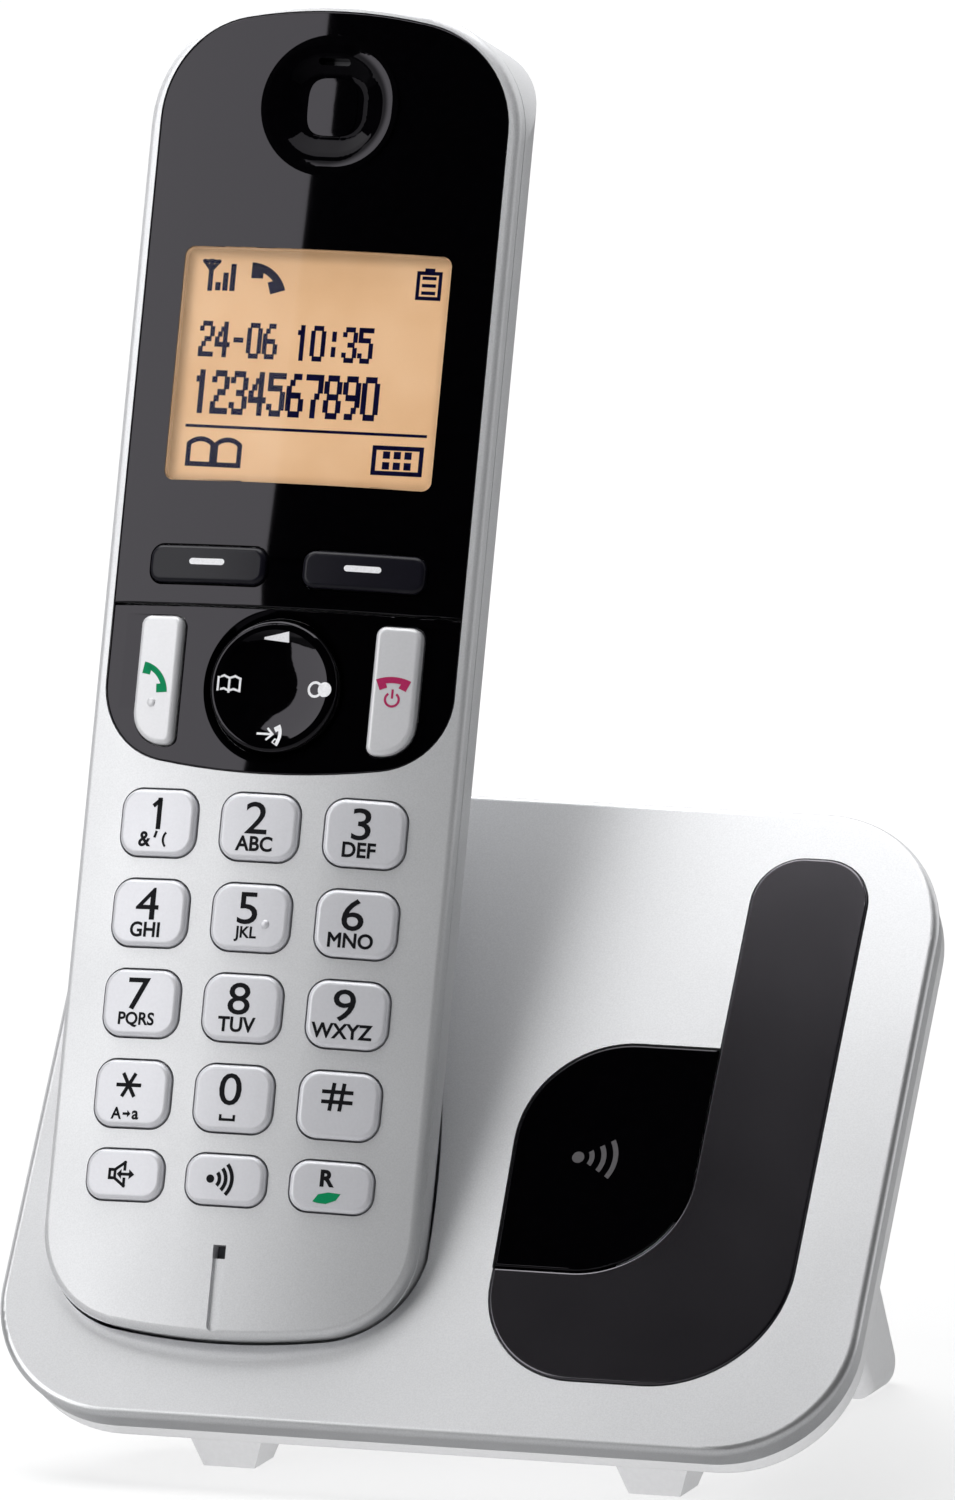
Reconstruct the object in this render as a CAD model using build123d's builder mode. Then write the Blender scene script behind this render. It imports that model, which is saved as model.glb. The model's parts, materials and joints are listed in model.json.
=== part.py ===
"""Cordless telephone: a slim handset that stands in a tilted charging base.

Millimetres and degrees. +Z is up, the telephone faces -Y, and the origin is on the floor under the
middle of the base. Most pieces are drawn in one of two tilted frames. HANDSET has its origin on the
handset's face at its lower end: x across, y up along the handset, z out of the face. BASE has its
origin in the middle of the sloping plate: x across, y up the plate, z out of it.
"""
import os
from math import cos, radians, sin, sqrt, tan

from build123d import *

os.makedirs("parts", exist_ok=True)

# Handset form
handset_length = 161.4
handset_width = 46.6
handset_depth = 22.0
handset_lean = 17.6
crown_radius = 98.0
back_radius = 16.4
top_arch, top_corner = 68.0, 14.5
bottom_arch, bottom_corner = 85.0, 12.0
top_back_round, bottom_back_round = 12.0, 5.0
face_edge_round = 1.0
shell_wall = 2.0
parting_depth = 4.8
parting_groove = 0.3

# Black panels, window and earpiece, placed from the handset's lower end
panel_half_width = 21.85
panel_thickness = 1.2
panel_gap = 0.1
panel_edge_round = 0.2
panel_top_rim = 1.4
panel_top_arch, panel_top_corner = 65.7, 12.5
panel_step = 87.7
control_bottom = 67.7
control_corner = 9.5
control_drop = 0.25
window_width, window_height, window_corner = 33.4, 28.2, 1.2
window_center = 116.9
ear_center = 148.6
ear_width, ear_height, ear_corner = 15.0, 14.0, 6.8
ear_floor_width, ear_floor_height, ear_floor_corner = 8.4, 7.6, 2.8
ear_dish, ear_mouth_rise, ear_lip_round, ear_floor_round = 1.3, 0.25, 4.0, 1.5
ear_boss_radius, ear_boss_depth = 8.6, 2.6
ear_slot_length, ear_slot_width = 4.0, 0.8

# Keys
key_rise = 0.7
key_travel = 0.5
key_gap = 0.25
key_flange = 0.8
key_flange_gap = 0.2
key_foot = 4.6
key_edge_round = 0.6
press_gap = 0.1
key_width, key_height, key_corner = 9.7, 8.0, 2.4
small_key_width, small_key_height, small_key_corner = 9.9, 6.0, 2.2
key_pitch_x, key_pitch_y = 12.91, 10.87
top_row = 61.2
small_row = 18.85
soft_key_width, soft_key_height, soft_key_corner = 14.9, 4.5, 1.5
soft_key_x, soft_key_center = 9.8, 92.5
soft_channel_height, soft_channel_depth = 2.4, 0.3
call_key_width, call_key_height = 5.4, 15.5
call_key_corner, call_key_sweep, call_key_inner = 1.2, 3.9, 1.0
call_key_x, call_key_center = 14.85, 78.4
call_key_rise = 0.9
scoop_reach, scoop_depth, scoop_low, scoop_high = 5.1, 0.6, 75.0, 86.4
navigator_center = 78.2
navigator_radius, navigator_gap, navigator_ring = 8.0, 0.4, 1.0
navigator_rise, navigator_dish, navigator_flat = 0.4, 0.7, 2.5
navigator_foot, navigator_flange_gap = 4.2, 1.0
navigator_post_radius, navigator_post_gap, navigator_socket, navigator_post_lift = 2.2, 0.2, 1.6, 0.3

# Inside the handset, depths from the face
mat_thickness, mat_half_width, mat_bottom, mat_top = 0.8, 19.4, 14.2, 97.4
board_thickness, board_gap = 1.2, 0.5
lcd_width, lcd_height, lcd_top_gap = 37.0, 33.0, 0.2
lcd_seat_gap = 0.1
speaker_radius, speaker_gap = 7.0, 0.2
microphone_center, microphone_radius = 10.3, 2.0
microphone_hole, microphone_groove_width, microphone_groove_depth = 1.6, 1.5, 0.5
microphone_groove_end, microphone_groove_corner = 0.8, 0.7
ringer_center, ringer_radius, ringer_height = 121.0, 8.0, 4.0
ringer_slot_length, ringer_slot_width, ringer_slot_pitch, ringer_slots = 11.0, 1.2, 2.8, 4
cell_radius, cell_length, cell_gap = 5.15, 44.5, 0.3
cell_center, cell_floor = 56.0, 8.8
contact_thickness, contact_room, spring_radius = 0.5, 2.5, 2.2
compartment_wall = 1.4
cover_width, cover_top, cover_bottom = 30.0, 84.0, 27.0
cover_thickness, cover_gap = 1.6, 0.2
rail_width, rail_drop, rail_thickness = 1.0, 0.5, 0.6
grip_ribs, grip_pitch, grip_width, grip_depth = 4, 2.4, 1.0, 0.35
charge_pad_x, charge_pad_center, charge_pad_width, charge_pad_length = 6.5, 9.5, 4.0, 7.0
charge_pad_thickness = 0.8

# Screws
screw_radius, screw_head_radius, screw_head_height, screw_gap = 0.9, 1.9, 1.2, 0.1
boss_radius = 2.4
handset_screw_x, handset_screw_low, handset_screw_high = 12.4, 10.0, 139.0
boss_reach = 8.4
boss_meet_gap = 0.3
boss_sink = 0.35
head_sink = 0.3
screw_bite = 4.0

# Base form
base_width, base_height, base_corner = 107.1, 85.3, 16.5
base_lean = 36.8
stand_depth = 88.0
toe_height = 8.65
plate_thickness = 2.4
plate_edge_round = 0.9
rim_depth, rim_wall, rim_draft = 4.3, 1.8, 0.7
tray_depth, tray_wall, tray_draft, tray_round = 4.0, 1.8, 0.4, 1.6
stand_half_width, stand_slope, stand_edge_round = 35.0, 34.0, 2.0
underside_height = 5.4
heel_round, sole_length = 3.0, 8.0
cord_way_half_width = 21.0
foot_x, foot_y = 26.6, -25.5
foot_width, foot_length, foot_draft = 6.4, 7.0, 2.2

# How the handset stands in the base
dock_x, dock_v, dock_rise = -24.77, -33.06, 2.97
dock_gap = 0.4
tub_wall = 1.5
dock_front_reach = 30.0

# Accent panel and locator key on the plate
stem_left, stem_right, stem_top, stem_corner = 29.7, 44.1, 36.05, 6.0
hook_bottom, hook_left, hook_top = -34.25, 7.25, -20.3
hook_right_round, hook_left_round, hook_inner_round = 16.0, 12.0, 13.0
accent_thickness, accent_gap, accent_rise, accent_edge = 1.4, 0.15, 0.25, 0.3
locator_top, locator_flare, locator_round = 10.15, 1.0, 13.0
locator_gap, locator_rise, locator_travel = 0.25, 0.1, 0.6
locator_flange, locator_flange_height = 1.0, 0.8
locator_stem_radius = 2.0
locator_stem_x, locator_stem_v = 18.5, -5.0

# Inside the base
base_board_depth, base_board_thickness = 4.5, 1.2
base_board_left, base_board_right, base_board_half_height = 4.6, 40.4, 31.0
post_radius, post_inset = 2.0, 4.0
base_screw_inset_x, base_screw_inset_v = 10.2, 9.7
base_boss_radius, base_screw_bite = 3.0, 3.2
leaf_width, leaf_length, leaf_foot, leaf_foot_thickness, leaf_slot_gap = 3.0, 5.0, 2.0, 0.5, 0.2
leaf_touch_gap, leaf_back_gap = 0.3, 0.3

# Sockets in the back of the stand
recess_half_width, recess_face_y, recess_low, recess_high = 20.6, 28.0, 9.5, 24.0
jack_depth, jack_gap = 12.0, 0.2
connector_board_low, connector_board_thickness = 8.0, 1.6
connector_board_half_width, connector_board_front, connector_board_back = 19.0, 8.0, 25.4
line_x, line_width, line_height = 9.0, 13.6, 11.6
line_mouth_width, line_mouth_height, line_mouth_depth = 9.7, 6.7, 9.8
dc_x, dc_width, dc_height = -9.0, 9.4, 11.0
dc_bore_radius, dc_bore_depth, dc_pin_radius = 3.2, 9.5, 0.9

# Room left beyond a shape wherever a cut has to run clear of it, and beside the handset's section
clear = 6.0
section_brim = 1.0


def tilted(origin, lean):
    """Plane that faces the front and leans back from the vertical."""
    facing = (0, -cos(radians(lean)), sin(radians(lean)))
    return Plane(origin=origin, x_dir=(1, 0, 0), z_dir=facing)


def sag(radius, half):
    """How far an arc of this radius falls away at half its chord."""
    return radius - sqrt(radius**2 - half**2)


lean_sin, lean_cos = sin(radians(base_lean)), cos(radians(base_lean))
edge_shift = (lean_sin + lean_cos - 1) * plate_edge_round
base_y = -stand_depth / 2 + base_height / 2 * lean_sin - edge_shift
base_z = toe_height + base_height / 2 * lean_cos
BASE = tilted((0, base_y, base_z), base_lean)
HANDSET = tilted(BASE.from_local_coords((dock_x, dock_v, dock_rise)), handset_lean)
SECTION = Plane(origin=HANDSET.origin, x_dir=HANDSET.x_dir, z_dir=HANDSET.y_dir)
SIDE = Plane(origin=HANDSET.origin, x_dir=HANDSET.y_dir, z_dir=HANDSET.x_dir)
FACE_OUT = Axis(HANDSET.origin, HANDSET.z_dir)
PLATE_OUT = Axis(BASE.origin, BASE.z_dir)

# Depths that follow from the sizes above
back_shoulder = handset_depth - back_radius
back_flat = handset_width / 2 - back_radius
panel_floor = panel_thickness + panel_gap
mat_face = key_foot + key_travel + press_gap
board_face = mat_face + mat_thickness
board_back = board_face + board_thickness
cell_depth = cell_floor + cell_gap + cell_radius
compartment_half = 2 * cell_radius + 1.5 * cell_gap
compartment_low = cell_center - cell_length / 2 - contact_room
compartment_high = cell_center + cell_length / 2 + contact_room
track_depth = cover_thickness + cover_gap
ringer_back = handset_depth - shell_wall - speaker_gap


def save(piece, name):
    """Label a finished piece and write its file."""
    piece.part.label = name
    export_step(piece.part, f"parts/{name}.step")


def shield(plane, half, low, high, low_arch=0.0, low_corner=0.0, high_arch=0.0, high_corner=0.0):
    """Upright outline with straight sides and ends that may be arched and have round corners."""
    low_side = low + (sag(low_arch, half) if low_arch else 0)
    high_side = high - (sag(high_arch, half) if high_arch else 0)
    with BuildSketch(plane) as outline:
        with BuildLine():
            Line((-half, low_side), (-half, high_side))
            if high_arch:
                ThreePointArc((-half, high_side), (0, high), (half, high_side))
            else:
                Line((-half, high), (half, high))
            Line((half, high_side), (half, low_side))
            if low_arch:
                ThreePointArc((half, low_side), (0, low), (-half, low_side))
            else:
                Line((half, low), (-half, low))
        make_face()
        if high_corner:
            fillet(outline.vertices().group_by(Axis.Y)[-1], radius=high_corner)
        if low_corner:
            fillet(outline.vertices().group_by(Axis.Y)[0], radius=low_corner)
    return outline.sketch


def handset_outline(plane, grow=0.0):
    """Front view of the handset, grown or shrunk all round."""
    return shield(
        plane,
        handset_width / 2 + grow,
        -grow,
        handset_length + grow,
        bottom_arch + grow,
        bottom_corner + grow,
        top_arch + grow,
        top_corner + grow,
    )


def handset_section(grow=0.0, open_front=False):
    """Cross-section of the handset, x against depth: crowned face, round-cornered back."""
    half = handset_width / 2 + grow
    wide = half + section_brim
    back = handset_depth + grow
    radius = back_radius + grow
    turn = radius / sqrt(2)
    with BuildSketch(SECTION.offset(-clear)) as section:
        with BuildLine():
            if open_front:
                front = -dock_front_reach
                Line((-wide, front), (wide, front))
            else:
                front = sag(crown_radius + grow, wide) - grow
                ThreePointArc((-wide, front), (0, -grow), (wide, front))
            Polyline((wide, front), (wide, back_shoulder), (half, back_shoulder))
            ThreePointArc(
                (half, back_shoulder), (back_flat + turn, back_shoulder + turn), (back_flat, back)
            )
            Line((back_flat, back), (-back_flat, back))
            ThreePointArc(
                (-back_flat, back), (-back_flat - turn, back_shoulder + turn), (-half, back_shoulder)
            )
            Polyline((-half, back_shoulder), (-wide, back_shoulder), (-wide, front))
        make_face()
    return section.sketch


def handset_profile(grow=0.0):
    """Side view of the handset: its back is rounded at both ends."""
    back = handset_depth + grow
    with BuildSketch(SIDE) as profile:
        with BuildLine():
            Polyline(
                (-grow, clear), (-grow, -back), (handset_length + grow, -back),
                (handset_length + grow, clear), close=True,
            )
        make_face()
        low_end = profile.vertices().group_by(Axis.Y)[0].sort_by(Axis.X)
        fillet(low_end[-1], radius=top_back_round + grow)
        fillet(profile.vertices().group_by(Axis.Y)[0].sort_by(Axis.X)[0], radius=bottom_back_round + grow)
    return profile.sketch


def handset_form(grow=0.0):
    """Whole outer form of the handset: front view, section and side view cut through each other."""
    with BuildPart() as form:
        extrude(handset_outline(HANDSET.offset(clear), grow), amount=-handset_depth - 2 * clear)
        extrude(handset_section(grow), amount=handset_length + 2 * clear, mode=Mode.INTERSECT)
        extrude(handset_profile(grow), amount=handset_width, both=True, mode=Mode.INTERSECT)
    return form.part


def dock_form(grow):
    """Space that the handset slides through on its way out of the base, open to the front."""
    with BuildPart() as form:
        extrude(
            handset_outline(HANDSET.offset(dock_front_reach), grow),
            amount=-handset_depth - dock_front_reach - 2 * clear,
        )
        extrude(handset_section(grow, True), amount=handset_length + 2 * clear, mode=Mode.INTERSECT)
    return form.part


def below_crown(depth):
    """Section of everything that lies deeper than the crowned face by this depth."""
    radius = crown_radius - depth
    wide = handset_width / 2 + clear
    side = depth + sag(radius, wide)
    deep = handset_depth + clear
    with BuildSketch(SECTION.offset(-clear)) as section:
        with BuildLine():
            ThreePointArc((-wide, side), (0, depth), (wide, side))
            Polyline((wide, side), (wide, deep), (-wide, deep), (-wide, side))
        make_face()
    return section.sketch


def crowned_layer(outline, head, foot):
    """Layer over an outline on the handset plane, between two depths below the crowned face."""
    with BuildPart() as layer:
        extrude(outline, amount=handset_depth, both=True)
        extrude(below_crown(head), amount=handset_length + 2 * clear, mode=Mode.INTERSECT)
        extrude(below_crown(foot), amount=handset_length + 2 * clear, mode=Mode.SUBTRACT)
    return layer.part


def crowned_block(outline, head, foot):
    """Block over an outline on the handset plane, from a flat foot up to the crowned face line."""
    with BuildPart() as block:
        extrude(outline, amount=handset_depth, both=True)
        extrude(below_crown(head), amount=handset_length + 2 * clear, mode=Mode.INTERSECT)
        split(bisect_by=HANDSET.offset(-foot), keep=Keep.TOP)
    return block.part


def back_layer(low, high, half, outer, inner):
    """Layer that follows the handset's back between two depths under its surface."""
    with BuildPart() as layer:
        with BuildSketch(HANDSET.offset(-cell_depth)):
            with Locations((0, (low + high) / 2)):
                Rectangle(2 * half, high - low)
        extrude(amount=-handset_depth)
        extrude(handset_section(-outer, True), amount=handset_length + 2 * clear, mode=Mode.INTERSECT)
        extrude(handset_section(-inner, True), amount=handset_length + 2 * clear, mode=Mode.SUBTRACT)
    return layer.part


def back_depth(x, inset=0.0):
    """Depth of the handset's rounded back at a place across it, less an inset."""
    across = max(abs(x) - back_flat, 0)
    return back_shoulder + sqrt((back_radius - inset) ** 2 - across**2)


def pad(plane, x, y, width, height, corner):
    """One rounded rectangle on a plane."""
    with BuildSketch(plane) as outline:
        with Locations((x, y)):
            RectangleRounded(width, height, corner)
    return outline.sketch


def display_outline(grow=0.0):
    return shield(
        HANDSET,
        panel_half_width + grow,
        panel_step - grow,
        handset_length - panel_top_rim + grow,
        high_arch=panel_top_arch + grow,
        high_corner=panel_top_corner + grow,
    )


def control_outline(grow=0.0):
    return shield(
        HANDSET,
        panel_half_width + grow,
        control_bottom - grow,
        panel_step - panel_gap + grow,
        low_arch=bottom_arch + grow,
        low_corner=control_corner + grow,
    )


def call_key_outline(side, grow=0.0):
    """Talk or off key: a tall key whose outer lower corner sweeps round like the panel's corner."""
    with BuildSketch(HANDSET) as outline:
        with Locations((side * call_key_x, call_key_center)):
            Rectangle(call_key_width + 2 * grow, call_key_height + 2 * grow)
        outward = Axis.X if side > 0 else -Axis.X
        fillet(outline.vertices().group_by(Axis.Y)[-1], radius=call_key_corner + grow)
        fillet(outline.vertices().group_by(Axis.Y)[0].sort_by(outward)[-1], radius=call_key_sweep + grow)
        fillet(outline.vertices().group_by(Axis.Y)[0].sort_by(outward)[0], radius=call_key_inner + grow)
    return outline.sketch


def key_outline(x, y, width, height, corner, grow=0.0):
    return pad(HANDSET, x, y, width + 2 * grow, height + 2 * grow, corner + grow)


key_names = [
    ["key_1", "key_2", "key_3"],
    ["key_4", "key_5", "key_6"],
    ["key_7", "key_8", "key_9"],
    ["key_star", "key_0", "key_hash"],
]
small_key_names = ["key_speaker", "key_intercom", "key_recall"]
key_columns = [-key_pitch_x, 0, key_pitch_x]
key_size = (key_width, key_height, key_corner)
small_key_size = (small_key_width, small_key_height, small_key_corner)
soft_key_size = (soft_key_width, soft_key_height, soft_key_corner)
keys = {}
for row, names in enumerate(key_names):
    for name, x in zip(names, key_columns):
        keys[name] = (x, top_row - row * key_pitch_y, *key_size)
for name, x in zip(small_key_names, key_columns):
    keys[name] = (x, small_row, *small_key_size)
soft_keys = {
    "soft_key_left": (-soft_key_x, soft_key_center, *soft_key_size),
    "soft_key_right": (soft_key_x, soft_key_center, *soft_key_size),
}
call_keys = {"talk_key": -1, "off_key": 1}
handset_screw_points = [
    (side * handset_screw_x, height) for height in (handset_screw_low, handset_screw_high) for side in (-1, 1)
]


def screw_seat(x, height):
    """Depth at which a handset screw's head rests in the rear shell."""
    sunk = track_depth if height < cover_bottom else 0
    return back_depth(x, sunk) - head_sink - screw_head_height


def pressed_key(name, cap, skirt, rise):
    """Key cap with a flange that is trapped under the face. It slides straight in."""
    cap_block = crowned_block(cap, -rise, key_foot)
    with BuildPart() as key:
        add(cap_block)
        fillet(key.faces().sort_by(FACE_OUT)[-1].edges(), radius=key_edge_round)
        add(crowned_block(skirt, shell_wall + key_flange_gap, key_foot))
    save(key, name)


# Front half of the handset's case, with its panel recess, key openings and screw bosses
with BuildPart() as handset_front_shell:
    add(handset_form())
    split(bisect_by=HANDSET.offset(-parting_depth), keep=Keep.TOP)
    face = handset_front_shell.faces().sort_by(FACE_OUT)[-1]
    fillet(face.edges(), radius=face_edge_round)
    add(handset_form(-shell_wall), mode=Mode.SUBTRACT)
    add(crowned_layer(display_outline(panel_gap), -clear, panel_floor), mode=Mode.SUBTRACT)
    add(crowned_layer(control_outline(panel_gap), -clear, panel_floor + control_drop), mode=Mode.SUBTRACT)
    for size in [*keys.values(), *soft_keys.values()]:
        extrude(key_outline(*size, grow=key_gap), amount=handset_depth, both=True, mode=Mode.SUBTRACT)
    for side in call_keys.values():
        extrude(call_key_outline(side, key_gap), amount=handset_depth, both=True, mode=Mode.SUBTRACT)
    with BuildSketch(HANDSET):
        with Locations((0, window_center)):
            Rectangle(lcd_width + 2 * panel_gap, lcd_height + 2 * panel_gap)
        with Locations((0, ear_center)):
            Circle(ear_boss_radius + key_gap)
        with Locations((0, navigator_center)):
            Circle(navigator_radius + navigator_gap)
        with Locations((0, microphone_center)):
            Rectangle(microphone_hole, microphone_hole)
    extrude(amount=handset_depth, both=True, mode=Mode.SUBTRACT)
    groove_length = microphone_center - microphone_groove_end
    groove = pad(
        HANDSET, 0, microphone_groove_end + groove_length / 2,
        microphone_groove_width, groove_length, microphone_groove_corner,
    )
    add(crowned_layer(groove, -clear, microphone_groove_depth), mode=Mode.SUBTRACT)
    for x, height in handset_screw_points:
        boss_root = sag(crown_radius, abs(x)) + shell_wall - boss_sink
        with BuildSketch(HANDSET.offset(-boss_reach)):
            with Locations((x, height)):
                Circle(boss_radius)
        extrude(amount=boss_reach - boss_root)
        with BuildSketch(HANDSET.offset(-boss_reach)):
            with Locations((x, height)):
                Circle(screw_radius + screw_gap / 2)
        extrude(amount=screw_bite, mode=Mode.SUBTRACT)
save(handset_front_shell, "handset_front_shell")

# Rear half of the case, with the cell compartment and the track that the battery cover slides in
with BuildPart() as handset_rear_shell:
    add(handset_form())
    split(bisect_by=HANDSET.offset(-parting_depth), keep=Keep.BOTTOM)
    chamfer(handset_rear_shell.faces().sort_by(FACE_OUT)[-1].edges(), length=parting_groove)
    add(handset_form(-shell_wall), mode=Mode.SUBTRACT)
    track_bed = track_depth + compartment_wall
    track_end = cover_top + cover_gap
    bed_half = cover_width / 2 + cover_gap + rail_width + compartment_wall
    add(back_layer(-clear, track_end + compartment_wall, bed_half, 0, track_bed))
    with BuildSketch(HANDSET.offset(-cell_floor + compartment_wall)):
        with Locations((0, (compartment_low + compartment_high) / 2)):
            Rectangle(
                2 * (compartment_half + compartment_wall),
                compartment_high - compartment_low + 2 * compartment_wall,
            )
    extrude(amount=-handset_depth)
    with BuildSketch(HANDSET.offset(-board_back - board_gap)):
        with Locations(*handset_screw_points):
            Circle(boss_radius + screw_head_radius / 2)
    extrude(amount=-handset_depth)
    with BuildSketch(HANDSET.offset(-ringer_back + ringer_height)):
        with Locations((0, ringer_center)):
            Circle(ringer_radius + speaker_gap + compartment_wall)
            Circle(ringer_radius + speaker_gap, mode=Mode.SUBTRACT)
    extrude(amount=-handset_depth)
    extrude(handset_outline(HANDSET.offset(clear)), amount=-handset_depth - 2 * clear, mode=Mode.INTERSECT)
    extrude(handset_section(), amount=handset_length + 2 * clear, mode=Mode.INTERSECT)
    extrude(handset_profile(), amount=handset_width, both=True, mode=Mode.INTERSECT)
    track_half = cover_width / 2 + cover_gap
    add(back_layer(-clear, track_end, track_half, -clear, track_depth), mode=Mode.SUBTRACT)
    add(
        back_layer(
            -clear, track_end, track_half + rail_width,
            rail_drop - cover_gap / 2, rail_drop + rail_thickness + cover_gap / 2,
        ),
        mode=Mode.SUBTRACT,
    )
    with BuildSketch(HANDSET.offset(-cell_floor)):
        with Locations((0, (compartment_low + compartment_high) / 2)):
            Rectangle(2 * compartment_half, compartment_high - compartment_low)
    extrude(amount=-handset_depth, mode=Mode.SUBTRACT)
    with BuildSketch(HANDSET):
        for place in range(ringer_slots):
            offset_y = (place - (ringer_slots - 1) / 2) * ringer_slot_pitch
            with Locations((0, ringer_center + offset_y)):
                SlotOverall(ringer_slot_length, ringer_slot_width)
    extrude(amount=-handset_depth - clear, mode=Mode.SUBTRACT)
    with BuildSketch(HANDSET):
        with Locations((-charge_pad_x, charge_pad_center), (charge_pad_x, charge_pad_center)):
            Rectangle(charge_pad_width + cover_gap, charge_pad_length + cover_gap)
    extrude(amount=-handset_depth - clear, mode=Mode.SUBTRACT)
    for x, height in handset_screw_points:
        with BuildSketch(HANDSET):
            with Locations((x, height)):
                Circle(boss_radius + boss_meet_gap)
        extrude(amount=-boss_reach - boss_meet_gap, mode=Mode.SUBTRACT)
        with BuildSketch(HANDSET):
            with Locations((x, height)):
                Circle(screw_radius + screw_gap)
        extrude(amount=-handset_depth - clear, mode=Mode.SUBTRACT)
        with BuildSketch(HANDSET.offset(-screw_seat(x, height))):
            with Locations((x, height)):
                Circle(screw_head_radius + screw_gap)
        extrude(amount=-handset_depth, mode=Mode.SUBTRACT)
save(handset_rear_shell, "handset_rear_shell")

# Battery cover: a curved plate with side rails and finger ribs, sliding down its track
with BuildPart() as battery_cover:
    add(back_layer(cover_bottom, cover_top, cover_width / 2, 0, cover_thickness))
    add(
        back_layer(
            cover_bottom, cover_top, cover_width / 2 + rail_width, rail_drop, rail_drop + rail_thickness
        )
    )
    for rib in range(grip_ribs):
        height = cover_top - 2 * grip_pitch - rib * grip_pitch
        add(
            back_layer(height - grip_width / 2, height + grip_width / 2, cover_width / 4, -clear, grip_depth),
            mode=Mode.SUBTRACT,
        )
save(battery_cover, "battery_cover")

# Gloss display panel with its window opening and the dished earpiece
with BuildPart() as display_panel:
    add(crowned_layer(display_outline(), 0, panel_thickness))
    fillet(display_panel.faces().sort_by(FACE_OUT)[-1].edges(), radius=panel_edge_round)
    with BuildSketch(HANDSET):
        with Locations((0, ear_center)):
            Circle(ear_boss_radius)
    extrude(amount=-ear_boss_depth)
    with BuildSketch(HANDSET.offset(-ear_dish)):
        with Locations((0, ear_center)):
            RectangleRounded(ear_floor_width, ear_floor_height, ear_floor_corner)
    with BuildSketch(HANDSET.offset(ear_mouth_rise)):
        with Locations((0, ear_center)):
            RectangleRounded(ear_width, ear_height, ear_corner)
    loft(mode=Mode.SUBTRACT)
    ear_floor = HANDSET.from_local_coords(Vector(0, ear_center, -ear_dish))
    fillet(display_panel.faces().sort_by_distance(ear_floor)[0].edges(), radius=ear_floor_round)
    ear_lip = display_panel.faces().sort_by(FACE_OUT)[-1].inner_wires()[0]
    fillet(ear_lip.edges(), radius=ear_lip_round)
    with BuildSketch(HANDSET):
        with Locations((0, window_center)):
            RectangleRounded(window_width + 2 * panel_gap, window_height + 2 * panel_gap, window_corner)
    extrude(amount=handset_depth, both=True, mode=Mode.SUBTRACT)
    for size in soft_keys.values():
        extrude(key_outline(*size, grow=key_gap), amount=handset_depth, both=True, mode=Mode.SUBTRACT)
    channel_length = 2 * soft_key_x - soft_key_width + 2 * key_gap
    channel = pad(
        HANDSET, 0, soft_key_center, channel_length + soft_channel_height, soft_channel_height, key_gap
    )
    add(crowned_layer(channel, -clear, soft_channel_depth), mode=Mode.SUBTRACT)
    with BuildSketch(HANDSET):
        with Locations((0, ear_center + (ear_floor_height + ear_height) / 4)):
            SlotOverall(ear_slot_length, ear_slot_width)
    extrude(amount=-handset_depth, mode=Mode.SUBTRACT)
save(display_panel, "display_panel")

# Control panel under the display panel, with the navigator's chamfered ring and a scoop by each call key
with BuildPart() as control_panel:
    add(crowned_layer(control_outline(), control_drop, control_drop + panel_thickness))
    fillet(control_panel.faces().sort_by(FACE_OUT)[-1].edges(), radius=panel_edge_round)
    for side in call_keys.values():
        inner_depth = control_drop + sag(crown_radius, call_key_x) + scoop_depth
        outer_depth = control_drop + sag(crown_radius, call_key_x + scoop_reach)
        with BuildSketch(SECTION.offset(scoop_low)):
            with BuildLine():
                Polyline(
                    (side * call_key_x, -clear), (side * call_key_x, inner_depth),
                    (side * (call_key_x + scoop_reach), outer_depth),
                    (side * (call_key_x + scoop_reach), -clear), close=True,
                )
            make_face()
        extrude(amount=scoop_high - scoop_low, mode=Mode.SUBTRACT)
    with BuildSketch(HANDSET):
        with Locations((0, navigator_center)):
            Circle(navigator_radius + navigator_gap)
        for side in call_keys.values():
            add(HANDSET.to_local_coords(call_key_outline(side, key_gap)))
    extrude(amount=handset_depth, both=True, mode=Mode.SUBTRACT)
    with BuildSketch(HANDSET.offset(-control_drop - navigator_ring)):
        with Locations((0, navigator_center)):
            Circle(navigator_radius + navigator_gap)
    extrude(amount=navigator_ring, taper=-45, mode=Mode.SUBTRACT)
save(control_panel, "control_panel")

# Clear window flush with the display panel
with BuildPart() as display_lens:
    add(
        crowned_layer(
            pad(HANDSET, 0, window_center, window_width, window_height, window_corner), 0, panel_thickness
        )
    )
save(display_lens, "display_lens")

# Display module on the circuit board
lcd_face = panel_thickness + sag(crown_radius - panel_thickness, lcd_width / 2) + lcd_top_gap
with BuildPart() as lcd_module:
    with BuildSketch(HANDSET.offset(-board_face + lcd_seat_gap)):
        with Locations((0, window_center)):
            Rectangle(lcd_width, lcd_height)
    extrude(amount=board_face - lcd_seat_gap - lcd_face)
save(lcd_module, "lcd_module")

for name, size in {**keys, **soft_keys}.items():
    pressed_key(name, key_outline(*size), key_outline(*size, grow=key_flange), key_rise)
for name, side in call_keys.items():
    pressed_key(name, call_key_outline(side), call_key_outline(side, key_flange), call_key_rise)

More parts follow.
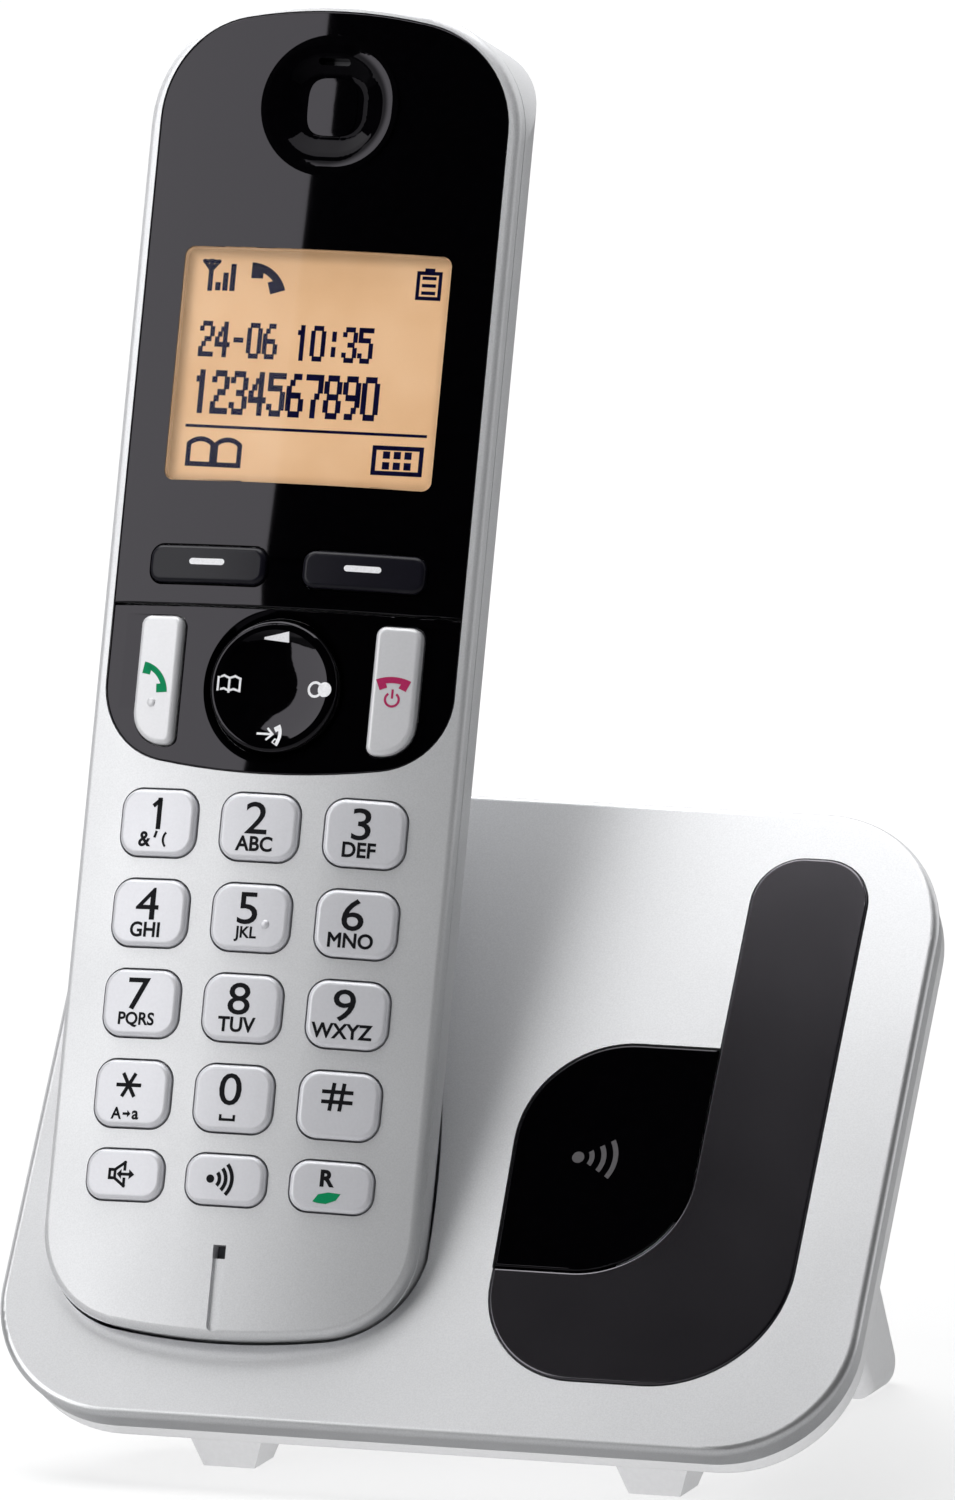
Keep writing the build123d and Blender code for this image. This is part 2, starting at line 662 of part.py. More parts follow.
# Round navigator: a dished disc that rocks both ways on a short post
NAVIGATOR = Plane(
    origin=HANDSET.from_local_coords((0, navigator_center, 0)), x_dir=HANDSET.x_dir, z_dir=-HANDSET.y_dir
)
navigator_flange_head = shell_wall + navigator_flange_gap
navigator_rim = navigator_radius - 2 * key_edge_round
navigator_flange = navigator_radius + key_flange
navigator_dish_floor = navigator_rise - navigator_dish
socket_radius = navigator_post_radius + navigator_post_gap
socket_head = navigator_foot - navigator_socket
with BuildPart() as navigator_key:
    with BuildSketch(NAVIGATOR):
        with BuildLine():
            Line((0, navigator_dish_floor), (navigator_flat, navigator_dish_floor))
            TangentArc(
                (navigator_flat, navigator_dish_floor), (navigator_rim, navigator_rise), tangent=(1, 0)
            )
            Line((navigator_rim, navigator_rise), (navigator_radius - key_edge_round, navigator_rise))
            TangentArc(
                (navigator_radius - key_edge_round, navigator_rise),
                (navigator_radius, navigator_rise - key_edge_round), tangent=(1, 0),
            )
            Polyline(
                (navigator_radius, navigator_rise - key_edge_round),
                (navigator_radius, -navigator_flange_head), (navigator_flange, -navigator_flange_head),
                (navigator_flange, -navigator_foot),
                (socket_radius, -navigator_foot), (socket_radius, -socket_head), (0, -socket_head),
                (0, navigator_dish_floor),
            )
        make_face()
    revolve(axis=Axis(NAVIGATOR.origin, HANDSET.z_dir))
save(navigator_key, "navigator_key")

post_head = socket_head + navigator_post_gap
with BuildPart() as navigator_post:
    with BuildSketch(HANDSET.offset(-mat_face + navigator_post_lift)):
        with Locations((0, navigator_center)):
            Circle(navigator_post_radius)
    extrude(amount=mat_face - navigator_post_lift - post_head)
save(navigator_post, "navigator_post")

# Rubber mat under the keys, and the circuit board that it lies on
with BuildPart() as keypad_mat:
    with BuildSketch(HANDSET.offset(-board_face)):
        with Locations((0, (mat_bottom + mat_top) / 2)):
            RectangleRounded(2 * mat_half_width, mat_top - mat_bottom, key_corner)
    extrude(amount=mat_thickness)
save(keypad_mat, "keypad_mat")

with BuildPart() as handset_circuit_board:
    extrude(handset_outline(HANDSET.offset(-board_face), -shell_wall - board_gap), amount=-board_thickness)
    with BuildSketch(HANDSET.offset(-board_face)):
        with Locations(*handset_screw_points):
            Circle(boss_radius + boss_meet_gap)
    extrude(amount=-board_thickness, mode=Mode.SUBTRACT)
save(handset_circuit_board, "handset_circuit_board")

# Earpiece, microphone and ringer
with BuildPart() as earpiece_speaker:
    with BuildSketch(HANDSET.offset(-board_face + lcd_seat_gap)):
        with Locations((0, ear_center)):
            Circle(speaker_radius)
    extrude(amount=board_face - lcd_seat_gap - ear_boss_depth - speaker_gap)
save(earpiece_speaker, "earpiece_speaker")

with BuildPart() as microphone:
    with BuildSketch(HANDSET.offset(-board_face + lcd_seat_gap)):
        with Locations((0, microphone_center)):
            Circle(microphone_radius)
    extrude(amount=board_face - lcd_seat_gap - shell_wall - speaker_gap)
save(microphone, "microphone")

with BuildPart() as ringer_speaker:
    with BuildSketch(HANDSET.offset(-ringer_back)):
        with Locations((0, ringer_center)):
            Circle(ringer_radius)
    extrude(amount=ringer_height)
save(ringer_speaker, "ringer_speaker")

# Two cells side by side with contact strips at their ends
cell_x = cell_radius + cell_gap / 2
with BuildPart() as battery_cells:
    with BuildSketch(SECTION.offset(cell_center - cell_length / 2)):
        with Locations((-cell_x, cell_depth), (cell_x, cell_depth)):
            Circle(cell_radius)
    extrude(amount=cell_length)
save(battery_cells, "battery_cells")

strip_size = 2 * (cell_radius - cell_gap)
spring_height = contact_room - contact_thickness - 2 * cell_gap
with BuildPart() as battery_contacts:
    for end, way in ((compartment_low + cell_gap, 1), (compartment_high - cell_gap, -1)):
        with BuildSketch(SECTION.offset(end)):
            with Locations((-cell_x, cell_depth), (cell_x, cell_depth)):
                RectangleRounded(strip_size, strip_size, cell_gap)
        extrude(amount=way * contact_thickness)
        with BuildSketch(SECTION.offset(end)):
            with Locations((-cell_x, cell_depth), (cell_x, cell_depth)):
                Circle(spring_radius)
        extrude(amount=way * (contact_thickness + spring_height))
save(battery_contacts, "battery_contacts")

# Charging pads in the track floor at the handset's lower end
with BuildPart() as handset_charge_contacts:
    pad_face = back_depth(charge_pad_x + charge_pad_width / 2, track_depth)
    with BuildSketch(HANDSET.offset(-pad_face)):
        with Locations((-charge_pad_x, charge_pad_center), (charge_pad_x, charge_pad_center)):
            Rectangle(charge_pad_width, charge_pad_length)
    extrude(amount=charge_pad_thickness)
save(handset_charge_contacts, "handset_charge_contacts")

with BuildPart() as handset_screws:
    for x, height in handset_screw_points:
        seat = screw_seat(x, height)
        with BuildSketch(HANDSET.offset(-seat)):
            with Locations((x, height)):
                Circle(screw_head_radius)
        extrude(amount=-screw_head_height)
        with BuildSketch(HANDSET.offset(-seat)):
            with Locations((x, height)):
                Circle(screw_radius)
        extrude(amount=seat - boss_reach + screw_bite - screw_gap)
save(handset_screws, "handset_screws")


def plate_outline(plane, inset=0.0):
    """Outline of the base's plate, drawn in from its edge."""
    return pad(plane, 0, 0, base_width - 2 * inset, base_height - 2 * inset, base_corner - inset)


def accent_outline(plane, grow=0.0):
    """Hooked accent: a straight stem that turns into a foot round the locator key."""
    left, right = stem_left - grow, stem_right + grow
    with BuildSketch(plane) as outline:
        with BuildLine():
            Polyline(
                (left, hook_top + grow), (left, stem_top + grow), (right, stem_top + grow),
                (right, hook_bottom - grow), (hook_left - grow, hook_bottom - grow),
                (hook_left - grow, hook_top + grow), close=True,
            )
        make_face()
        corners = outline.vertices()
        fillet(corners.group_by(Axis.Y)[-1], radius=stem_corner + grow)
        fillet(outline.vertices().group_by(Axis.Y)[0].sort_by(Axis.X)[-1], radius=hook_right_round + grow)
        fillet(outline.vertices().group_by(Axis.Y)[0].sort_by(Axis.X)[0], radius=hook_left_round + grow)
        inner = outline.vertices().sort_by_distance(Vertex(left, hook_top + grow, 0))[0]
        fillet(inner, radius=hook_inner_round - grow)
    return outline.sketch


def locator_outline(plane, grow=0.0):
    """Locator key: it fills the corner between the accent's stem and foot, and leans out a little."""
    left, right = hook_left - grow, stem_left - 2 * accent_gap + grow
    low, high = hook_top + 2 * accent_gap - grow, locator_top + grow
    with BuildSketch(plane) as outline:
        with BuildLine():
            Polyline((left, low), (right, low), (right, high), (left - locator_flare, high), close=True)
        make_face()
        fillet(outline.vertices().group_by(Axis.Y)[-1].sort_by(Axis.X)[0], radius=locator_round + grow)
        fillet(outline.vertices().group_by(Axis.Y)[0].sort_by(Axis.X)[-1], radius=hook_inner_round + grow)
    return outline.sketch


base_screw_x = base_width / 2 - base_screw_inset_x
base_screw_v = base_height / 2 - base_screw_inset_v
base_screw_points = [
    (-base_screw_x, base_screw_v), (base_screw_x, base_screw_v), (base_screw_x, -base_screw_v)
]
base_post_points = [
    (x, side * (base_board_half_height - post_inset))
    for x in (base_board_left + post_inset, base_board_right - post_inset)
    for side in (-1, 1)
]
tray_back = rim_depth + tray_depth
tray_floor = tray_back - tray_wall
leaf_points = [(-charge_pad_x, charge_pad_center), (charge_pad_x, charge_pad_center)]
pocket_back = handset_depth + dock_gap
tub_back = pocket_back + tub_wall
tub_gap = leaf_foot_thickness + leaf_back_gap

# Front of the base: the sloping plate with its rim, the tub that the handset stands in, and bosses
with BuildPart() as tub:
    add(dock_form(dock_gap + tub_wall))
    split(bisect_by=BASE.offset(-plate_thickness / 2), keep=Keep.BOTTOM)

with BuildPart() as base_front_cover:
    loft([plate_outline(BASE).face(), plate_outline(BASE.offset(-rim_depth), rim_draft).face()])
    fillet(base_front_cover.faces().sort_by(PLATE_OUT)[-1].edges(), radius=plate_edge_round)
    extrude(
        plate_outline(BASE.offset(-plate_thickness), rim_draft + rim_wall),
        amount=-rim_depth, mode=Mode.SUBTRACT,
    )
    add(tub.part)
    add(dock_form(dock_gap), mode=Mode.SUBTRACT)
    extrude(
        accent_outline(BASE.offset(-accent_thickness), accent_gap),
        amount=accent_thickness, mode=Mode.SUBTRACT,
    )
    extrude(locator_outline(BASE, locator_gap), amount=rim_depth, both=True, mode=Mode.SUBTRACT)
    with BuildSketch(BASE.offset(-base_board_depth)):
        with Locations(*base_post_points):
            Circle(post_radius)
    extrude(amount=base_board_depth - plate_thickness)
    with BuildSketch(BASE.offset(-tray_floor)):
        with Locations(*base_screw_points):
            Circle(base_boss_radius)
    extrude(amount=tray_floor - plate_thickness)
    with BuildSketch(BASE.offset(-tray_floor)):
        with Locations(*base_screw_points):
            Circle(screw_radius + screw_gap / 2)
    extrude(amount=base_screw_bite, mode=Mode.SUBTRACT)
    with BuildSketch(HANDSET):
        with Locations(*leaf_points):
            Rectangle(leaf_width + 2 * leaf_slot_gap, leaf_length + 2 * leaf_slot_gap)
    extrude(amount=-tub_back - clear, mode=Mode.SUBTRACT)
save(base_front_cover, "base_front_cover")

with BuildPart() as accent_panel:
    extrude(accent_outline(BASE.offset(accent_rise)), amount=-accent_thickness - accent_rise)
    fillet(accent_panel.faces().sort_by(PLATE_OUT)[-1].edges(), radius=accent_edge)
save(accent_panel, "accent_panel")

# Locator key with a flange under the plate and a stem over its switch
flange_head = plate_thickness + key_flange_gap
stem_foot = base_board_depth - locator_travel - press_gap
with BuildPart() as locator_key:
    extrude(locator_outline(BASE.offset(locator_rise)), amount=-flange_head - locator_rise)
    fillet(locator_key.faces().sort_by(PLATE_OUT)[-1].edges(), radius=accent_edge)
    extrude(locator_outline(BASE.offset(-flange_head), locator_flange), amount=-locator_flange_height)
    with BuildSketch(BASE.offset(-flange_head)):
        with Locations((locator_stem_x, locator_stem_v)):
            Circle(locator_stem_radius)
    extrude(amount=flange_head - stem_foot)
save(locator_key, "locator_key")

with BuildPart() as base_circuit_board:
    with BuildSketch(BASE.offset(-base_board_depth)):
        with Locations(((base_board_left + base_board_right) / 2, 0)):
            Rectangle(base_board_right - base_board_left, 2 * base_board_half_height)
    extrude(amount=-base_board_thickness)
save(base_circuit_board, "base_circuit_board")

# Charging leaves: each stands on a foot behind the tub and reaches through a slot to its pad
leaf_tip = pad_face + leaf_touch_gap
with BuildPart() as base_charge_contacts:
    for x, height in leaf_points:
        with BuildSketch(SIDE.offset(x - leaf_width / 2)):
            with BuildLine():
                Polyline(
                    (height - leaf_length / 2, -tub_back), (height - leaf_length / 2, -pocket_back),
                    (height - leaf_length / 4, -leaf_tip), (height + leaf_length / 4, -leaf_tip),
                    (height + leaf_length / 2, -pocket_back), (height + leaf_length / 2, -tub_back),
                    close=True,
                )
            make_face()
        extrude(amount=leaf_width)
        with BuildSketch(HANDSET.offset(-tub_back)):
            with Locations((x, height)):
                Rectangle(leaf_width + 2 * leaf_foot, leaf_length + 2 * leaf_foot)
        extrude(amount=-leaf_foot_thickness)
save(base_charge_contacts, "base_charge_contacts")

# Side view of the stand behind the plate, in the world's Y and Z
slope_tan = tan(radians(stand_slope))
heel_half_angle = radians(90 - stand_slope) / 2
heel_corner_y = stand_depth / 2 + heel_round / tan(heel_half_angle) - heel_round
sole_front_y = stand_depth / 2 - heel_round - sole_length
stand_front = tray_back - tray_wall / 2


def plate_line_at_height(depth, height):
    """Point behind the plate at this depth and height, in Y and Z."""
    up = (height - base_z + depth * lean_sin) / lean_cos
    return base_y + up * lean_sin + depth * lean_cos, height


def plate_line_at_slope(depth):
    """Point behind the plate at this depth where the stand's sloping back meets it, in Y and Z."""
    room = heel_corner_y - base_y - depth * lean_cos - (base_z - depth * lean_sin) * slope_tan
    up = room / (lean_sin + lean_cos * slope_tan)
    return base_y + up * lean_sin + depth * lean_cos, base_z + up * lean_cos - depth * lean_sin


def stand_outline(inset=0.0):
    """Side view of the stand: sole and heel on the floor, sloping back, raised underside."""
    with BuildSketch(Plane.YZ) as outline:
        with BuildLine():
            Polyline(
                plate_line_at_height(stand_front, underside_height),
                (sole_front_y - underside_height, underside_height),
                (sole_front_y, 0),
                (heel_corner_y, 0),
                plate_line_at_slope(stand_front),
                close=True,
            )
        make_face()
        fillet(outline.vertices().sort_by(Axis.X)[-1], radius=heel_round)
        if inset:
            offset(amount=-inset, mode=Mode.REPLACE)
    return outline.sketch


with BuildPart() as stand:
    extrude(stand_outline(), amount=stand_half_width, both=True)
    fillet(stand.faces().sort_by(Axis.X)[-1].edges(), radius=stand_edge_round)
    fillet(stand.faces().sort_by(Axis.X)[0].edges(), radius=stand_edge_round)

recess_width = 2 * (recess_half_width + tray_wall)
recess_roof = recess_high + tray_wall
with BuildPart() as recess_walls:
    extrude(stand_outline(), amount=recess_half_width + tray_wall, both=True)
    with Locations((0, recess_face_y - tray_wall + stand_depth / 2, (underside_height + recess_roof) / 2)):
        Box(recess_width, stand_depth, recess_roof - underside_height, mode=Mode.INTERSECT)

with BuildPart() as tub_bulge:
    add(dock_form(dock_gap + tub_wall + tub_gap + tray_wall))
    split(bisect_by=BASE.offset(-rim_depth), keep=Keep.BOTTOM)

# Back of the base: shallow tray, bulge round the tub, hollow stand with sole, feet and socket recess
jack_low = connector_board_low + connector_board_thickness
connector_post_points = [
    (side * (connector_board_half_width - post_inset), y)
    for y in (connector_board_front + post_inset, connector_board_back - post_inset)
    for side in (-1, 1)
]
with BuildPart() as base_rear_housing:
    loft(
        [
            plate_outline(BASE.offset(-rim_depth), rim_draft).face(),
            plate_outline(BASE.offset(-tray_back), rim_draft + tray_draft).face(),
        ]
    )
    fillet(base_rear_housing.faces().sort_by(PLATE_OUT)[0].edges(), radius=tray_round)
    add(stand.part)
    add(tub_bulge.part)
    split(bisect_by=BASE.offset(-rim_depth), keep=Keep.BOTTOM)
    extrude(
        plate_outline(BASE.offset(-rim_depth), rim_draft + tray_draft + rim_wall),
        amount=-tray_depth + tray_wall, mode=Mode.SUBTRACT,
    )
    extrude(stand_outline(tray_wall), amount=stand_half_width - tray_wall, both=True, mode=Mode.SUBTRACT)
    add(dock_form(dock_gap + tub_wall + tub_gap), mode=Mode.SUBTRACT)
    add(recess_walls.part)
    with Locations((0, recess_face_y + stand_depth / 2, (recess_low + recess_high) / 2)):
        Box(2 * recess_half_width, stand_depth, recess_high - recess_low, mode=Mode.SUBTRACT)
    with BuildSketch(Plane.XZ.offset(-recess_face_y)):
        with Locations((line_x, jack_low + line_height / 2)):
            Rectangle(line_width + 2 * jack_gap, line_height + 2 * jack_gap)
        with Locations((dc_x, jack_low + dc_height / 2)):
            Rectangle(dc_width + 2 * jack_gap, dc_height + 2 * jack_gap)
    extrude(amount=2 * tray_wall, both=True, mode=Mode.SUBTRACT)
    with BuildSketch(Plane.XY.offset(underside_height + tray_wall / 2)):
        with Locations(*connector_post_points):
            Circle(post_radius)
    extrude(amount=connector_board_low - underside_height - tray_wall / 2)
    with Locations((0, stand_depth / 2, underside_height / 2)):
        Box(2 * cord_way_half_width, stand_depth / 2, underside_height, mode=Mode.SUBTRACT)
    for side in (-1, 1):
        with BuildSketch(Plane.XY):
            with Locations((side * foot_x, foot_y)):
                Rectangle(foot_width, foot_length)
        with BuildSketch(Plane.XY.offset(underside_height + tray_wall / 2)):
            with Locations((side * foot_x, foot_y)):
                Rectangle(foot_width + 2 * foot_draft, foot_length + 2 * foot_draft)
        loft()
    with BuildSketch(BASE):
        with Locations(*base_screw_points):
            Circle(screw_radius + screw_gap)
    extrude(amount=-tray_back - clear, mode=Mode.SUBTRACT)
    with BuildSketch(BASE.offset(-tray_back + tray_wall / 2)):
        with Locations(*base_screw_points):
            Circle(screw_head_radius + screw_gap)
    extrude(amount=-clear, mode=Mode.SUBTRACT)
save(base_rear_housing, "base_rear_housing")

# Sockets on a small board behind the recess
with BuildPart() as connector_board:
    with BuildSketch(Plane.XY.offset(connector_board_low)):
        with Locations((0, (connector_board_front + connector_board_back) / 2)):
            Rectangle(2 * connector_board_half_width, connector_board_back - connector_board_front)
    extrude(amount=connector_board_thickness)
save(connector_board, "connector_board")

with BuildPart() as line_socket:
    with Locations((line_x, recess_face_y - jack_depth / 2, jack_low + line_height / 2)):
        Box(line_width, jack_depth, line_height)
    with Locations((line_x, recess_face_y - line_mouth_depth / 2, jack_low + line_height / 2)):
        Box(line_mouth_width, line_mouth_depth, line_mouth_height, mode=Mode.SUBTRACT)
save(line_socket, "line_socket")

with BuildPart() as dc_jack:
    with Locations((dc_x, recess_face_y - jack_depth / 2, jack_low + dc_height / 2)):
        Box(dc_width, jack_depth, dc_height)
    with BuildSketch(Plane.XZ.offset(-recess_face_y)):
        with Locations((dc_x, jack_low + dc_height / 2)):
            Circle(dc_bore_radius)
            Circle(dc_pin_radius, mode=Mode.SUBTRACT)
    extrude(amount=dc_bore_depth, mode=Mode.SUBTRACT)
save(dc_jack, "dc_jack")

with BuildPart() as base_screws:
    for x, height in base_screw_points:
        with BuildSketch(BASE.offset(-tray_back + tray_wall / 2)):
            with Locations((x, height)):
                Circle(screw_head_radius)
        extrude(amount=-tray_wall / 2)
        with BuildSketch(BASE.offset(-tray_back + tray_wall / 2)):
            with Locations((x, height)):
                Circle(screw_radius)
        extrude(amount=tray_wall / 2 + base_screw_bite - screw_gap)
save(base_screws, "base_screws")
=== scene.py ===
"""Looks, light and camera for the cordless phone with base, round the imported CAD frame.

Prints and tactile dots are placed from the frame's own nodes and joint axes. Drawings are in
millimetres, with their origin in the middle of the node that they are printed on, and the scene is in
metres.
"""
import json
import math

import bmesh
import bpy
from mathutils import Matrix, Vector


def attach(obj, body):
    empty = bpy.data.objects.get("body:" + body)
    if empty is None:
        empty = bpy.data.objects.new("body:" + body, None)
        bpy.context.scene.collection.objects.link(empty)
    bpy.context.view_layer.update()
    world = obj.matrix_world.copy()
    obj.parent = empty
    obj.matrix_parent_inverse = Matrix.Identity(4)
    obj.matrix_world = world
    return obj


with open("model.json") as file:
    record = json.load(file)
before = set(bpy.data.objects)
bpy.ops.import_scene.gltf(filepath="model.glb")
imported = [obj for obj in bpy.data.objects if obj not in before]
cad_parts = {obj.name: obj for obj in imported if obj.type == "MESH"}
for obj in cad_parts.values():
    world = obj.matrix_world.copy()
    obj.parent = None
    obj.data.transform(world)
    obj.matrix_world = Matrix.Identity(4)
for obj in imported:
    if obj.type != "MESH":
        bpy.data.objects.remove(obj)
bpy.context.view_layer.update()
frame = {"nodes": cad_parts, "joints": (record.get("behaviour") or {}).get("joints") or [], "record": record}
nodes = frame["nodes"]
joints = {joint["name"]: joint for joint in frame["joints"]}

MM = 0.001
ACROSS = Vector((1, 0, 0))

# Prints: how far they stand off a surface, and how far out a corner starts before it is dropped onto one
INK_LIFT, DROP_HEIGHT = 0.03 * MM, 0.4
# Meshes: how far down a letter's face still counts as its front, and how near corners are to be joined
FLAT, JOIN = 1e-6, 1e-7

# Display lettering: its glyphs, their columns with a blank one after each, and how wide a lit cell is
GLYPHS, GLYPH_COLUMNS, CELL_SPREAD = "0123456789-:", 5, 1.7
GLYPH_SHEET = [
    ".###. ..#.. .###. .###. ...#. ##### ..##. ##### .###. .###. ..... .....",
    "#...# .##.. #...# #...# ..##. #.... .#... ....# #...# #...# ..... ..#..",
    "#...# ..#.. ....# ....# .#.#. ####. #.... ....# #...# #...# ..... ..#..",
    "#...# ..#.. ..##. ..##. #..#. ....# ####. ...#. .###. .#### .###. .....",
    "#...# ..#.. .#... ....# ##### ....# #...# ..#.. #...# ....# ..... ..#..",
    "#...# ..#.. #.... #...# ...#. #...# #...# ..#.. #...# ...#. ..... ..#..",
    ".###. ..#.. ##### .###. ...#. .###. .###. ..#.. .###. .##.. ..... .....",
]

# Camera, as read from the photograph's perspective
CAMERA_AZIMUTH, CAMERA_ELEVATION = 18.0, 9.43
CAMERA_DISTANCE = 2.126
CAMERA_LENS, CAMERA_SENSOR = 431.1, 36.0
TARGET_FROM_KEY_2 = Vector((27.43, 0, 10.66)) * MM

# Display window: how strongly it bends light, and its least and greatest roughness
WINDOW_IOR, WINDOW_ROUGHNESS = 1.18, (0.0, 0.03)
# Display film: its two tones, the strength of its painted glow that stands in for light, the glow left at
# its edge under a painted shadow, and how far in that shadow goes
DISPLAY_DARK, DISPLAY_PALE, DISPLAY_ROUGHNESS = (0.70, 0.42, 0.22), (0.78, 0.50, 0.29), 0.6
DISPLAY_GLOW, GLOW_SPREAD, EDGE_GLOW, EDGE_SHADE = 0.88, 0.05, 0.55, 1.5 * MM

# Ear dish: how far out its dull wall ends and the gloss starts, and how much the wall shines
DISH_WALL, DISH_LIP, DISH_SHINE = 6.9 * MM, 7.6 * MM, 0.07
# Its floor, in millimetres: half sizes, power of its square outline, crown radius and the crown's peak
DISH_FLOOR, DISH_SQUARE, DISH_CROWN, DISH_PEAK = (3.1, 3.5), 0.6, 60.0, 1.1

# Softboxes: directions point from the target towards the light
LIGHT_TARGET = Vector((0, 0, 0.09))
KEY_DIRECTION, KEY_DISTANCE, KEY_SIZE, KEY_POWER = (-0.567, -0.630, 0.366), 0.924, (0.52, 0.8), 3.25
TOP_DIRECTION, TOP_DISTANCE, TOP_SIZE, TOP_POWER = (-0.09, 0.03, 0.33), 0.35, (0.36, 0.42), 1.7

# World: the fill grows from left to right, and what gloss mirrors grows from front to back
WHITE = (1, 1, 1, 1)
FILL_COLOR, FILL_FADE, FILL_LEFT, FILL_RIGHT = (0.94, 0.97, 1.0, 1), (-0.7, 0.7), 0.1, 0.16
MIRROR_FADE, MIRROR_FRONT, MIRROR_BACK = (-0.1, 0.5), 0.0, 1.0

# Floor: its own colour, what the camera sees added near and far, how far out that changes, and what
# is added for diffuse and for mirrored rays
FLOOR_COLOR, FLOOR_HALF = (0.40, 0.40, 0.40), 4.0
FLOOR_NEAR, FLOOR_FAR, FLOOR_FADE = 0.63, 0.97, (0.05, 0.6)
FLOOR_BOUNCE, FLOOR_MIRROR = 0.66, 0.05

# Plastics: where two tones blend, the broad unevenness of the gloss, and how strong the grain is
BLEND_START, BLEND_END = 0.3, 0.7
BROAD_SCALE, BROAD_DETAIL, GLOSS_SPREAD = 45.0, 5.0, 0.15
GRAIN_STRENGTH = 0.6
GLOSS_COLOR, GLOSS_SHINE, VIOLET = (0.001, 0.0009, 0.0013), 0.38, (0.95, 0.91, 1.0, 1)

# Key lettering: heights, places on the key, stretch and stroke weight
DIGIT_HEIGHT, DIGIT_PLACE, DIGIT_STRETCH, DIGIT_WEIGHT = 3.85, (-0.3, 1.05), 1.15, 0.004
LETTER_HEIGHT, LETTER_PLACE, LETTER_STRETCH, LETTER_WEIGHT = 1.85, (-0.35, -2.05), 0.96, 0.026
LETTER_CURVE_STEPS = 4
SIGN_STROKE, SPEAKER_STROKE, PAGE_STROKE = 0.46, 0.36, 0.6
DOT_RADIUS = 0.55
KEY_WORDS = {
    "2": "ABC", "3": "DEF", "4": "GHI", "5": "JKL", "6": "MNO", "7": "PQRS", "8": "TUV", "9": "WXYZ",
}


class Face:
    """A tilted face of the object: its directions across, along and out of the surface."""

    def __init__(self, press_joint):
        self.out = -Vector(joints[press_joint]["axis"]).normalized()
        self.along = self.out.cross(ACROSS)

    def point(self, across, along, out):
        """Point of the scene at a place across, along and out."""
        return ACROSS * across + self.along * along + self.out * out

    def reach(self, node):
        """Least and greatest places across and along of a CAD node seen straight on."""
        corners = [vertex.co for vertex in nodes[node].data.vertices]
        places = [(corner.dot(ACROSS), corner.dot(self.along)) for corner in corners]
        return [min(values) for values in zip(*places)], [max(values) for values in zip(*places)]

    def spot(self, node):
        """Middle of a CAD node seen straight on, as its places across and along."""
        return [(low + high) / 2 for low, high in zip(*self.reach(node))]

    def drop(self, node, across, along):
        """Point of a CAD node's surface under a place across and along."""
        start = self.point(across, along, DROP_HEIGHT)
        found, place, _, _ = nodes[node].ray_cast(start, -self.out)
        if not found:
            raise ValueError(f"nothing of {node} lies under {across:.4f}, {along:.4f}")
        return place


handset_face = Face("key_2_press")
base_face = Face("locator_press")


